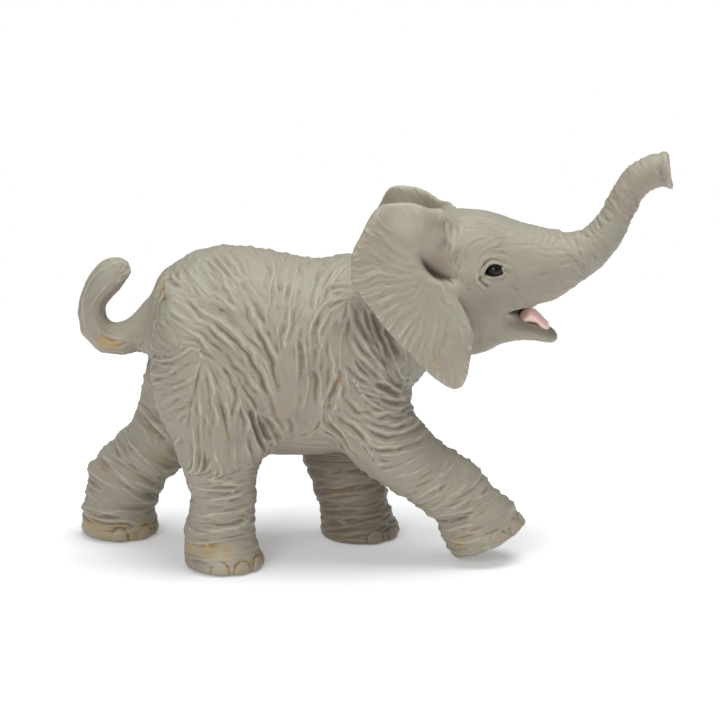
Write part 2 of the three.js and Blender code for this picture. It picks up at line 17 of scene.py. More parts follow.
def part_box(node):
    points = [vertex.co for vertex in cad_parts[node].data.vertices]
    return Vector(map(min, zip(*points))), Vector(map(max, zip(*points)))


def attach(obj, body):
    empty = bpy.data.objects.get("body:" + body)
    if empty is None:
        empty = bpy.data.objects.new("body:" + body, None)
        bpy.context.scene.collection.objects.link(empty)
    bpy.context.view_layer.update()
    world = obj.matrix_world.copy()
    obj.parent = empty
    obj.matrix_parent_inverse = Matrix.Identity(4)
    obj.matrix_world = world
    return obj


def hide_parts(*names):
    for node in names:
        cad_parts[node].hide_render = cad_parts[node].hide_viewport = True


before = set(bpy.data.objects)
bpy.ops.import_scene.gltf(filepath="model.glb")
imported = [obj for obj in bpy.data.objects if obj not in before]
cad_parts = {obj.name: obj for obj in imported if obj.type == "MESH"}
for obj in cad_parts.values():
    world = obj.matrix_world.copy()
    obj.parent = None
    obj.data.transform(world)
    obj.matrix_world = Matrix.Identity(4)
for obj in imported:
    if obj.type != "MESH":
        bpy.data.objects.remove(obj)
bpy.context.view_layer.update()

# %% [markdown]
# ## Measuring in the sculptor's millimetres
# Blender works in metres here, and a figure this small is easier to think of in millimetres. The
# zero point is on the floor under the shoulder, where the solids were measured from. The rump of
# the torso tells where that is.

# %% The sculptor's zero point
MM = 0.001
RUMP_X = -39.6
torso_low, torso_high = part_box("torso")
ZERO = np.array([torso_low.x / MM - RUMP_X, (torso_low.y + torso_high.y) / 2 / MM, 0.0])
print("zero point in mm:", ZERO.round(3))


def to_scene(points):
    """Sculptor's millimetres to scene metres."""
    return (np.asarray(points, float) + ZERO) * MM


def to_sculptor(points):
    """Scene metres to sculptor's millimetres."""
    return np.asarray(points, float) / MM - ZERO


# %% [markdown]
# ## Camera
# The photograph is taken from the figure's right side, a little from above, with a long lens. A
# camera one metre away with a long lens gives the same nearly parallel view. A camera with no
# perspective at all would be simpler, but the real lens draws the near legs a little larger. It
# comes first because the folds are drawn later as they are seen through it.

# %% Camera
CAMERA_TILT = math.radians(16.0)
CAMERA_DISTANCE = 1000.0
PICTURE_WIDTH = 126.7
SENSOR_WIDTH = 36.0
AIM = np.array([-2.64, 0.0, 34.5])
VIEW = np.array([0.0, math.cos(CAMERA_TILT), -math.sin(CAMERA_TILT)])
PICTURE_RIGHT = np.array([1.0, 0.0, 0.0])
PICTURE_UP = np.array([0.0, math.sin(CAMERA_TILT), math.cos(CAMERA_TILT)])
EYE_PLACE = AIM - VIEW * CAMERA_DISTANCE


def select_only(*pieces):
    """Selects these pieces and nothing else, and makes the first of them active."""
    bpy.ops.object.select_all(action="DESELECT")
    for piece in pieces:
        piece.select_set(True)
    if pieces:
        bpy.context.view_layer.objects.active = pieces[0]


select_only()
bpy.ops.object.camera_add(
    location=to_scene(EYE_PLACE), rotation=(math.pi / 2 - CAMERA_TILT, 0.0, 0.0)
)
camera = bpy.context.object
camera.name = "studio_camera"
camera.data.sensor_width = SENSOR_WIDTH
camera.data.lens = SENSOR_WIDTH * CAMERA_DISTANCE / PICTURE_WIDTH
camera.data.clip_start = 0.05
camera.data.clip_end = 20.0
bpy.context.scene.camera = camera
print("lens:", round(camera.data.lens, 1), "mm")

# %% [markdown]
# ## Studio
# The figure stands on a white sweep that shows no edge, only soft grey shadows round the feet. A
# floor that is only lit would look grey at this light level. So the camera sees the lit floor with
# a little glow of its own added, which lifts it to white and leaves the shadows under the feet,
# and farther out it sees plain white.

# %% Floor
FLOOR_RADIUS = 2.5
SHADOW_REACH = 0.12
SHADOW_FADE = 0.10
FLOOR_LIFT = 0.22
FLOOR_COLOUR = (0.93, 0.945, 0.965, 1.0)
WHITE = (1.0, 1.0, 1.0, 1.0)


def new_material(name):
    """A material with an empty node tree."""
    material = bpy.data.materials.new(name)
    material.use_nodes = True
    material.node_tree.nodes.clear()
    return material, material.node_tree


def add_node(tree, kind, inputs=(), **settings):
    """A node with its settings. Each input gets a value, or a link from another node's socket."""
    node = tree.nodes.new("ShaderNode" + kind)
    for key, value in settings.items():
        setattr(node, key, value)
    for key, value in dict(inputs).items():
        if isinstance(value, bpy.types.NodeSocket):
            tree.links.new(value, node.inputs[key])
        else:
            node.inputs[key].default_value = value
    return node


def math_of(tree, operation, first, second):
    """A Math node's result."""
    return add_node(tree, "Math", {0: first, 1: second}, operation=operation).outputs[0]


def ranged(tree, value, low, high, to_low=0.0, to_high=1.0):
    """A value mapped smoothly from one range to another."""
    ends = {"Value": value, "From Min": low, "From Max": high, "To Min": to_low, "To Max": to_high}
    return add_node(tree, "MapRange", ends, interpolation_type="SMOOTHSTEP").outputs["Result"]


bpy.ops.mesh.primitive_circle_add(vertices=64, radius=FLOOR_RADIUS, fill_type="NGON")
floor = bpy.context.object
floor.name = "studio_floor"
floor_material, tree = new_material("white_sweep")
place = add_node(tree, "TexCoord").outputs["Object"]
away = add_node(tree, "VectorMath", {0: place}, operation="LENGTH").outputs["Value"]
far = ranged(tree, away, SHADOW_REACH - SHADOW_FADE / 2, SHADOW_REACH + SHADOW_FADE / 2)
rays = add_node(tree, "LightPath").outputs
seen = math_of(tree, "MAXIMUM", rays["Is Camera Ray"], rays["Is Glossy Ray"])
plain = add_node(tree, "BsdfDiffuse", {"Color": FLOOR_COLOUR})
lift = math_of(tree, "MULTIPLY", seen, FLOOR_LIFT)
glow = add_node(tree, "Emission", {"Color": WHITE, "Strength": lift})
near = add_node(tree, "AddShader", {0: plain.outputs[0], 1: glow.outputs[0]})
white = add_node(tree, "Emission", {"Color": WHITE, "Strength": 1.0})
seen_far = math_of(tree, "MULTIPLY", seen, far)
floor_mix = add_node(tree, "MixShader", {"Fac": seen_far, 1: near.outputs[0], 2: white.outputs[0]})
add_node(tree, "OutputMaterial", {"Surface": floor_mix.outputs[0]})
floor.data.materials.append(floor_material)
print("floor nodes:", len(tree.nodes))

# %% [markdown]
# ## Light
# The photograph has a large soft lamp overhead and pale walls all round: the back is bright, the
# flank a step darker, and the shadows fall a little to the left. A small lamp would give them hard
# edges. One wide area lamp above, a weaker one from the camera's side and an even white world give
# the soft light.

# %% Lamps and world
LAMPS = (
    # name, place in mm, width in mm, power in watts
    ("overhead_softbox", (110.0, 20.0, 690.0), 480.0, 3.8),
    ("front_fill", (-300.0, -720.0, 420.0), 420.0, 2.4),
)
WORLD_STRENGTH = 0.25
WORLD_COLOUR = (0.97, 0.985, 1.0, 1.0)
for name, place, width, power in LAMPS:
    aim = Vector(to_scene(AIM)) - Vector(to_scene(place))
    bpy.ops.object.light_add(
        type="AREA", location=to_scene(place), rotation=aim.to_track_quat("-Z", "Y").to_euler()
    )
    lamp = bpy.context.object
    lamp.name = name
    lamp.data.shape = "DISK"
    lamp.data.size = width * MM
    lamp.data.energy = power

world = bpy.data.worlds.new("studio_world")
bpy.context.scene.world = world
world.use_nodes = True
tree = world.node_tree
tree.nodes.clear()
camera_ray = add_node(tree, "LightPath").outputs["Is Camera Ray"]
backdrop = add_node(tree, "Background", {"Color": WHITE, "Strength": 1.0})
light = add_node(tree, "Background", {"Color": WORLD_COLOUR, "Strength": WORLD_STRENGTH})
world_mix = add_node(tree, "MixShader", {"Fac": camera_ray, 1: light.outputs[0], 2: backdrop.outputs[0]})
add_node(tree, "OutputWorld", {"Surface": world_mix.outputs[0]})
bpy.context.scene.view_settings.view_transform = "Standard"
print("lamps:", len(LAMPS))

# %% [markdown]
# ## One lump of clay from the solids
# A sculptor would start from one lump, so that the skin runs over neck, shoulders and thighs with
# no step. The solids stand a hair apart, with pegs in sockets between them. Each copy is merged,
# swollen a little so that the gaps close, and joined. A voxel remesh then keeps only the outer
# skin. A boolean union would keep one too, but with long thin triangles that can't be sculpted.
# The remesh is coarse at first, so that it can be smoothed far and fast, and is refined after that.

# %% Copy, swell and join
SKIN_PARTS = (
    "torso", "head", "trunk", "lower_jaw", "right_ear", "left_ear", "tail",
    "right_hind_leg", "left_hind_leg", "right_front_leg", "left_front_leg",
)
EYES = ("right_eye", "left_eye")
SWELL = 0.2
COARSE_VOXEL = 0.5


def index_of(*names):
    """The numbers of the named skin parts."""
    return [SKIN_PARTS.index(name) for name in names]


def apply_modifier(piece, kind, **settings):
    """Adds one modifier, gives it its settings and applies it."""
    bpy.context.view_layer.objects.active = piece
    modifier = piece.modifiers.new(kind.lower(), kind)
    for key, value in settings.items():
        setattr(modifier, key, value)
    bpy.ops.object.modifier_apply(modifier=modifier.name)


def merged_copy(node, name):
    """A copy of a CAD node's mesh in an object of its own, with its doubles merged."""
    piece = bpy.data.objects.new(name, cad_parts[node].data.copy())
    piece.data.materials.clear()
    bpy.context.scene.collection.objects.link(piece)
    select_only(piece)
    bpy.ops.object.mode_set(mode="EDIT")
    bpy.ops.mesh.select_all(action="SELECT")
    bpy.ops.mesh.remove_doubles(threshold=1e-6)
    bpy.ops.object.mode_set(mode="OBJECT")
    return piece


copies = []
copy_part = []
for number, node in enumerate(SKIN_PARTS + EYES):
    piece = merged_copy(node, node + "_clay")
    apply_modifier(piece, "DISPLACE", strength=SWELL * MM, mid_level=0.0)
    copies.append(piece)
    part = SKIN_PARTS.index("head") if node in EYES else number
    copy_part += [part] * len(piece.data.polygons)
select_only(*copies)
bpy.ops.object.join()
skin = copies[0]
skin.name = "skin"
copy_part = np.array(copy_part)
copy_tree = BVHTree.FromPolygons(
    [v.co for v in skin.data.vertices], [p.vertices for p in skin.data.polygons]
)
apply_modifier(skin, "REMESH", mode="VOXEL", voxel_size=COARSE_VOXEL * MM, adaptivity=0.0)
print("coarse clay:", len(skin.data.vertices), "points")

# %% [markdown]
# The sculpting below moves points by numbers, as a sculpt brush does by hand. These helpers read
# and write all points at once, in the sculptor's millimetres.

# %% Reading and moving points


def read(items, key, width, kind=np.float32):
    """One property of all points, edges, faces or corners as an array with width columns."""
    flat = np.empty(len(items) * width, kind)
    items.foreach_get(key, flat)
    return flat.reshape(-1, width) if width > 1 else flat


def read_points(piece):
    return to_sculptor(read(piece.data.vertices, "co", 3)).astype(np.float32)


def read_normals(piece):
    return read(piece.data.vertex_normals, "vector", 3)


def read_edges(piece):
    return read(piece.data.edges, "vertices", 2, np.int32)


def write_points(piece, points):
    piece.data.vertices.foreach_set("co", to_scene(points).astype(np.float32).ravel())
    piece.data.update()


class Neighbours:
    """Averages over each point's neighbours along the edges."""

    def __init__(self, edges, count):
        self.a, self.b, self.count = edges[:, 0], edges[:, 1], count
        self.links = np.bincount(edges.ravel(), minlength=count).astype(np.float32)

    def mean(self, values):
        columns = values.reshape(self.count, -1)
        result = np.empty_like(columns)
        for k in range(columns.shape[1]):
            column = columns[:, k]
            total = np.bincount(self.a, column[self.b], self.count)
            total += np.bincount(self.b, column[self.a], self.count)
            result[:, k] = total / self.links
        return result.reshape(values.shape)

    def blur(self, values, rounds):
        for _ in range(rounds):
            values = 0.5 * (values + self.mean(values))
        return values


def nearest_part(points):
    """For each point, the number of the CAD part that its patch of skin lies on."""
    metres = to_scene(points)
    return np.array([copy_part[copy_tree.find_nearest(place)[2]] for place in metres])


print("coarse edges:", len(read_edges(skin)))

# %% [markdown]
# ## Smoothing the clay
# The solids have flat facets and hard creases where a leg enters the body. Rounds of averaging
# melt both. A Smooth modifier could do it for the whole lump, but a thin part such as an ear takes
# few rounds before it shrinks, and a junction needs many, so each point has its own number. The
# roots of the ears and four places at the temples, where the ears' solids leave a notch, get the
# most.

# %% Smooth the coarse clay
SMOOTH_ROUNDS = {
    "torso": 46, "head": 14, "trunk": 12, "lower_jaw": 7, "right_ear": 5, "left_ear": 5,
    "tail": 9, "right_hind_leg": 24, "left_hind_leg": 24, "right_front_leg": 20,
    "left_front_leg": 20,
}
THIN_PARTS = ("lower_jaw", "right_ear", "left_ear", "trunk", "head")
JUNCTION_ROUNDS = 110
JUNCTION_BLUR = 26
JUNCTION_FULL = 0.12
EAR_ROOT_ROUNDS = 120
EAR_ROOT_BLUR = 12
EAR_ROOT_FULL = 0.15
ROUNDS_BLUR = 8
TEMPLES = ((12.0, -10.0, 60.5), (12.3, -10.0, 57.0), (12.0, 10.0, 58.5), (12.3, 10.0, 55.0))
TEMPLE_ROUNDS = 150
TEMPLE_REACH = 4.2


def soft(apart, reach):
    """1 at the middle, 0 at the reach, with no edge between."""
    t = np.clip(1.0 - apart / reach, 0.0, 1.0)
    return t * t * (3.0 - 2.0 * t)


coarse = read_points(skin)
coarse_edges = read_edges(skin)
around = Neighbours(coarse_edges, len(coarse))
part = nearest_part(coarse)
rounds = np.array([SMOOTH_ROUNDS[name] for name in SKIN_PARTS], np.float32)[part]
crossing = part[coarse_edges[:, 0]] != part[coarse_edges[:, 1]]
junction = np.zeros(len(coarse), np.float32)
junction[coarse_edges[crossing].ravel()] = 1.0
thin = np.isin(part, index_of(*THIN_PARTS))
junction[thin] = 0.0
junction = np.clip(around.blur(junction, JUNCTION_BLUR) / JUNCTION_FULL, 0.0, 1.0)
junction[thin] = 0.0
ear_edge = np.isin(part[coarse_edges], index_of("right_ear", "left_ear")).sum(1) == 1
ear_root = np.zeros(len(coarse), np.float32)
ear_root[coarse_edges[ear_edge].ravel()] = 1.0
ear_root = np.clip(around.blur(ear_root, EAR_ROOT_BLUR) / EAR_ROOT_FULL, 0.0, 1.0)
rounds = around.blur(rounds + JUNCTION_ROUNDS * junction, ROUNDS_BLUR)
rounds = np.maximum(rounds, EAR_ROOT_ROUNDS * ear_root)
for temple in TEMPLES:
    apart = np.linalg.norm(coarse - np.array(temple, np.float32), axis=1)
    rounds = np.maximum(rounds, TEMPLE_ROUNDS * soft(apart, TEMPLE_REACH))
for step in range(int(rounds.max())):
    weight = np.clip(rounds - step, 0.0, 1.0)[:, None] * 0.5
    coarse += weight * (around.mean(coarse) - coarse)
write_points(skin, coarse)
apply_modifier(skin, "SUBSURF", levels=1, render_levels=1)
print("fine clay:", len(skin.data.vertices), "points, most rounds:", int(rounds.max()))

# %% [markdown]
# Eyelids are finer than anything else on the figure. The whole skin could be split once more, but
# that is four times the faces. So only the skin round each eye gets points twice as close together.

# %% Refine the skin round the eyes
EYE_REFINE_REACH = 3.6


def box_centre(node):
    """The middle and the half size of a CAD node's box."""
    low, high = (to_sculptor(corner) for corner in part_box(node))
    return (low + high) / 2, (high - low) / 2


eye_centres = [box_centre(node)[0] for node in EYES]
EYE_RADIUS = float(box_centre(EYES[0])[1][0])
face_centres = read_points(skin)[read(skin.data.polygons, "vertices", 4, np.int32)].mean(1)
near_eye = np.zeros(len(face_centres), bool)
for centre in eye_centres:
    near_eye |= np.linalg.norm(face_centres - centre, axis=1) < EYE_REFINE_REACH
bpy.ops.object.mode_set(mode="EDIT")
bpy.ops.mesh.select_mode(type="FACE")
bpy.ops.mesh.select_all(action="DESELECT")
bpy.ops.object.mode_set(mode="OBJECT")
skin.data.polygons.foreach_set("select", near_eye)
bpy.ops.object.mode_set(mode="EDIT")
bpy.ops.mesh.subdivide(number_cuts=1)
bpy.ops.object.mode_set(mode="OBJECT")
points = read_points(skin)
points -= SWELL * read_normals(skin)
write_points(skin, points)
normals = read_normals(skin)
part = nearest_part(points)
around = Neighbours(read_edges(skin), len(points))
print("points:", len(points), "faces split at the eyes:", int(near_eye.sum()))

# %% [markdown]
# ## Brushes
# The folds of the real figure are cut into its mould, so they show at its outline and can be felt.
# A bump in the material would be quick, but it vanishes at the outline and in a printed mesh, so
# here the points themselves move. Nothing modelled by hand is even: lumpy noise will vary each
# stroke's depth and bend its line a bit.

# %% Uneven lumps
LATTICE = 64


def corner_parts(places):
    """The lattice cell that holds each place, and how far into the cell the place lies."""
    base = np.floor(places).astype(np.int32)
    return base, (places - base).astype(np.float32)


class Lumps:
    """Smooth random lumps on two turned lattices."""

    def __init__(self, spacing, seed):
        random = np.random.default_rng(seed)
        self.values = random.standard_normal((2, LATTICE**3)).astype(np.float32)
        self.turns = []
        for _ in range(2):
            turn, _ = np.linalg.qr(random.standard_normal((3, 3)))
            self.turns.append((turn / spacing).astype(np.float32))

    def __call__(self, places):
        total = np.zeros(len(places), np.float32)
        for values, turn in zip(self.values, self.turns):
            base, t = corner_parts(places @ turn + 500.0)
            t = t * t * (3.0 - 2.0 * t)
            base &= LATTICE - 1
            after = (base + 1) & (LATTICE - 1)
            x0, x1 = base[:, 0] * LATTICE * LATTICE, after[:, 0] * LATTICE * LATTICE
            y0, y1 = base[:, 1] * LATTICE, after[:, 1] * LATTICE
            z0, z1 = base[:, 2], after[:, 2]
            tx, ty, tz = t.T
            for z, share in ((z0, 1 - tz), (z1, tz)):
                low = values[x0 + y0 + z] * (1 - tx) + values[x1 + y0 + z] * tx
                high = values[x0 + y1 + z] * (1 - tx) + values[x1 + y1 + z] * tx
                total += (low * (1 - ty) + high * ty) * share
        return total


wobble = [Lumps(1.9, seed) for seed in (41, 42, 43)]
uneven = Lumps(2.4, 44)
print("spread of the lumps:", round(float(uneven(points).std()), 2))

# %% [markdown]
# A stroke is drawn on the picture, in millimetres right and up from its middle, and is thrown onto
# the skin through the camera, so it lies where the photograph shows it. It could be drawn in
# space, but a photograph holds no depth. The far side isn't in it either: it gets the same strokes,
# mirrored and laid on its own skin.

# %% Where the camera's lines meet the skin


def build_tree():
    """The skin's faces, sorted so that a line's first hit is found fast."""
    bpy.context.view_layer.update()
    return BVHTree.FromObject(skin, bpy.context.evaluated_depsgraph_get())


def seen_at(right, up):
    """Where the camera's line through a picture place meets the skin: place, normal, face."""
    start = Vector(to_scene(EYE_PLACE))
    target = Vector(to_scene(AIM + right * PICTURE_RIGHT + up * PICTURE_UP))
    return skin_tree.ray_cast(start, (target - start).normalized())[:3]


corner_points = read(skin.data.loops, "vertex_index", 1, np.int32)
face_first = read(skin.data.polygons, "loop_start", 1, np.int32)
face_part = part[corner_points[face_first]]
skin_tree = build_tree()
print("faces that a line can meet:", len(face_part))

# %% Strokes thrown onto the skin
STROKE_SPACING = 0.35
STROKE_WOBBLE = 0.16
FAR_REACH = 3.5


def picture_points(path):
    """Points at an even spacing on a smooth line through a stroke's picture points."""
    path = np.array(path, float)
    padded = np.vstack([2 * path[0] - path[1], path, 2 * path[-1] - path[-2]])
    result = []
    for k in range(1, len(padded) - 2):
        p0, p1, p2, p3 = padded[k - 1 : k + 3]
        steps = max(1, int(round(np.linalg.norm(p2 - p1) / STROKE_SPACING)))
        t = (np.arange(steps) / steps)[:, None]
        bend = (2 * p0 - 5 * p1 + 4 * p2 - p3) * t**2 + (3 * p1 - p0 - 3 * p2 + p3) * t**3
        result.append(0.5 * (2 * p1 + (p2 - p0) * t + bend))
    return np.vstack(result + [path[-1:]])


def throw(path, allowed):
    """The places and normals where a stroke's points meet the skin of the allowed parts."""
    places, facing = [], []
    for right, up in picture_points(path):
        hit, normal, face = seen_at(right, up)
        if hit is not None and face_part[face] in allowed:
            places.append(to_sculptor(hit))
            facing.append(np.array(normal))
    places, facing = np.array(places), np.array(facing)
    if len(places):
        places = places + STROKE_WOBBLE * np.stack([noise(places) for noise in wobble], 1)
    return places, facing


def laid_on_far_side(places, allowed):
    """A stroke's places mirrored to the far side and laid on the skin there."""
    result, facing = [], []
    for place in places * np.array([1.0, -1.0, 1.0]):
        hit, normal, face, _ = skin_tree.find_nearest(Vector(to_scene(place)), FAR_REACH * MM)
        if hit is not None and face_part[face] in allowed:
            result.append(to_sculptor(hit))
            facing.append(np.array(normal))
    return np.array(result), np.array(facing)


FAR_TWIN = {
    "right_ear": "left_ear", "right_hind_leg": "left_hind_leg", "right_front_leg": "left_front_leg",
}


def throw_all(strokes, parts):
    """Each stroke on the near side and its twin on the far side: (depth, width, places, facing)."""
    allowed = index_of(*parts)
    far_allowed = index_of(*(FAR_TWIN.get(name, name) for name in parts))
    thrown = []
    for depth, width, path in strokes:
        places, facing = throw(path, allowed)
        if len(places) < 3:
            print("stroke off the skin:", path[0])
            continue
        thrown.append((depth, width, places, facing))
        places, facing = laid_on_far_side(places, far_allowed)
        if len(places) > 3:
            thrown.append((depth, width, places, facing))
    return thrown


print("points in a stroke of 10 mm:", len(picture_points(((0.0, 0.0), (10.0, 0.0)))))


# %% Distances on the picture
def on_picture(places):
    """Where places show on the picture, in mm from its middle; far-side places as their twins."""
    offset = np.stack([places[:, 0], -np.abs(places[:, 1]), places[:, 2]], 1) - AIM
    shrink = (CAMERA_DISTANCE / (CAMERA_DISTANCE + offset @ VIEW))[:, None]
    return np.stack([offset @ PICTURE_RIGHT, offset @ PICTURE_UP], 1) * shrink


def outline_distance(places, outline):
    """Distance to a closed outline in its plane, negative inside it."""
    outline = np.array(outline, float)
    apart = np.full(len(places), 99.0)
    inside = np.zeros(len(places), bool)
    for k in range(len(outline)):
        a, b = outline[k - 1], outline[k]
        side = b - a
        t = np.clip(((places - a) @ side) / (side @ side), 0, 1)
        apart = np.minimum(apart, np.linalg.norm(places - a - t[:, None] * side, axis=1))
        spans = (a[1] > places[:, 1]) != (b[1] > places[:, 1])
        cross = a[0] + (places[:, 1] - a[1]) * side[0] / (side[1] + 1e-9)
        inside ^= spans & (places[:, 0] < cross)
    return np.where(inside, -apart, apart)


print("eyes on the picture, mm:", on_picture(np.array(eye_centres)).round(1).tolist())

# %% [markdown]
# A stroke carves a narrow valley with a soft lip on each side, as a modelling tool does. Where
# strokes cross, the deeper one wins, so that a crossing isn't cut twice. The cuts are collected
# first and moved in one go.

# %% Carve a stroke


class Carving:
    """Collects how deep each point is cut, how high its lips rise and how near a stroke is."""

    # how far a stroke reaches and where its lips stand, in its widths
    REACH = 6.0
    LIP_AT = 2.2
    # how steep the valley is, and the depth in mm at which no lip is left
    VALLEY_POWER = 1.6
    FILLED_DEPTH = 0.2

    def __init__(self, count):
        self.depth = np.zeros(count, np.float32)
        self.lip = np.zeros(count, np.float32)
        self.near = np.full(count, 9.0, np.float32)

    def stroke(self, depth, width, places, facing, lip=0.75, taper=0.25, rough=0.28):
        reach = self.REACH * width
        low, high = places.min(0) - reach, places.max(0) + reach
        close = np.flatnonzero(((points > low) & (points < high)).all(1))
        offset = points[close][:, None, :] - places[None].astype(np.float32)
        apart = np.sqrt((offset**2).sum(2))
        nearest = apart.argmin(1)
        apart = apart[np.arange(len(close)), nearest]
        same_side = (normals[close] * facing[nearest]).sum(1) > 0.2
        close, nearest, apart = close[same_side], nearest[same_side], apart[same_side]
        along = nearest / (len(places) - 1)
        strength = np.clip(np.minimum(along, 1 - along) / taper, 0.0, 1.0)
        strength = strength * (2 - strength)
        if rough:
            strength = strength * np.clip(0.8 + rough * uneven(places[nearest]), 0.25, 1.3)
        cut = depth * strength * np.exp(-((apart / width) ** self.VALLEY_POWER))
        from_lip = (apart - self.LIP_AT * width) / width
        rise = lip * depth * strength * np.exp(-(from_lip**2))
        self.depth[close] = np.maximum(self.depth[close], cut)
        self.lip[close] = np.maximum(self.lip[close], rise)
        self.near[close] = np.minimum(self.near[close], apart / np.clip(strength, 0.2, 1.0))

    def height(self):
        return self.lip * (1 - np.clip(self.depth / self.FILLED_DEPTH, 0, 1)) - self.depth


print("a stroke reaches", Carving.REACH, "times its width, its lips stand at", Carving.LIP_AT)

# %% [markdown]
# ## Large forms
# Under the wrinkles lie bone and muscle: a shoulder blade, a brow, a cheek, a hollow temple. Each
# is a soft push at one place, like a thumb on clay. A sculpt brush would do the same by hand, but
# a written push can be changed later. Each acts on the side that the camera sees. Then a pocket is
# carved where the ear leaves the head, and the corner of the mouth is pressed in.

# %% Push out and press in
FORMS = (
    # picture place in mm, reach in mm, push in mm, parts
    ((-2.6, 2.2), 8.5, 0.75, ("torso",)),
    ((-7.2, -2.5), 5.0, -0.35, ("torso",)),
    ((4.4, 4.4), 3.4, -0.55, ("torso",)),
    ((-26.5, -8.0), 8.5, 0.55, ("torso", "right_hind_leg")),
    ((-17.0, -13.5), 4.5, -0.55, ("torso", "right_hind_leg")),
    ((-31.5, 3.0), 5.5, 0.35, ("torso", "right_hind_leg")),
    ((-25.0, 15.5), 5.0, -0.22, ("torso",)),
    ((23.0, 20.4), 3.6, 0.40, ("head",)),
    ((18.2, 17.5), 3.6, -0.45, ("head",)),
    ((24.5, 12.0), 4.2, 0.40, ("head", "lower_jaw")),
    ((29.2, 16.8), 3.2, -0.22, ("head", "trunk")),
    ((21.0, 8.0), 3.6, -0.20, ("head", "lower_jaw")),
    ((14.1, 24.7), 2.6, 1.0, ("right_ear", "head")),
    ((14.3, 22.0), 2.6, 0.85, ("right_ear", "head")),
    ((16.4, 23.4), 2.6, -0.20, ("head",)),
)
push = np.zeros(len(points), np.float32)
for place, reach, amount, parts in FORMS:
    places, facing = throw((place, place, place), index_of(*parts))
    if len(places):
        apart = np.linalg.norm(points - places[0].astype(np.float32), axis=1)
        same_side = (normals * facing[0].astype(np.float32)).sum(1) > 0.0
        push += amount * soft(apart, reach) * same_side
points += push[:, None] * normals
write_points(skin, points)
normals = read_normals(skin)
print("pushed from", round(float(push.min()), 2), "to", round(float(push.max()), 2), "mm")

# %% Ear pocket and corner of the mouth
EAR_POCKET = ((10.6, 19.3), (11.4, 17.6), (12.6, 16.1), (14.2, 15.1), (16.2, 14.8), (17.4, 15.3))
POCKET_PARTS = ("head", "right_ear", "left_ear", "torso")
EAR_POCKET_DEPTH = 1.7
EAR_POCKET_WIDTH = 1.0
POCKET_ROUNDS = 12
POCKET_BLUR = 3
MOUTH_CORNER = (
    (25.5, 8.2), (26.9, 8.8), (28.9, 9.1), (31.0, 9.5), (30.8, 6.4), (28.7, 7.1), (27.0, 7.6),
)
MOUTH_DEPTH = 1.6
MOUTH_EDGE = 0.4
pocket = Carving(len(points))
for _, _, places, facing in throw_all(((1.0, 1.0, EAR_POCKET),), POCKET_PARTS):
    pocket.stroke(EAR_POCKET_DEPTH, EAR_POCKET_WIDTH, places, facing, lip=0.10, taper=0.5, rough=0.0)
points += pocket.height()[:, None] * normals
eased = np.clip(around.blur(pocket.depth, POCKET_BLUR) / 0.3, 0, 1)[:, None]
for _ in range(POCKET_ROUNDS):
    points += 0.5 * eased * (around.mean(points) - points)
mouth_corner = np.zeros(len(points), np.float32)
cheek = np.flatnonzero(np.isin(part, index_of("head", "lower_jaw")) & (np.abs(points[:, 1]) > 2.0))
mouth_apart = outline_distance(on_picture(points[cheek]), MOUTH_CORNER)
mouth_corner[cheek] = np.clip(-mouth_apart / MOUTH_EDGE, 0, 1) * (np.abs(normals[cheek, 1]) > 0.2)
mouth_corner = around.blur(mouth_corner, 1)
points[:, 1] -= np.sign(points[:, 1]) * MOUTH_DEPTH * mouth_corner
write_points(skin, points)
normals = read_normals(skin)
skin_tree = build_tree()
print("points in the mouth's corners:", int((mouth_corner > 0.5).sum()))

# %% [markdown]
# ## Drawn folds
# The folds that anyone would recognise are drawn one by one: the fan on the thigh, the arch over
# the shoulder, the deep creases under the ear, the rings of the trunk, the lines round the eye.
# Noise would be less work, but these folds are what makes the figure itself. Each row is a depth,
# a width and then the stroke's points, each as right and up, all in millimetres.

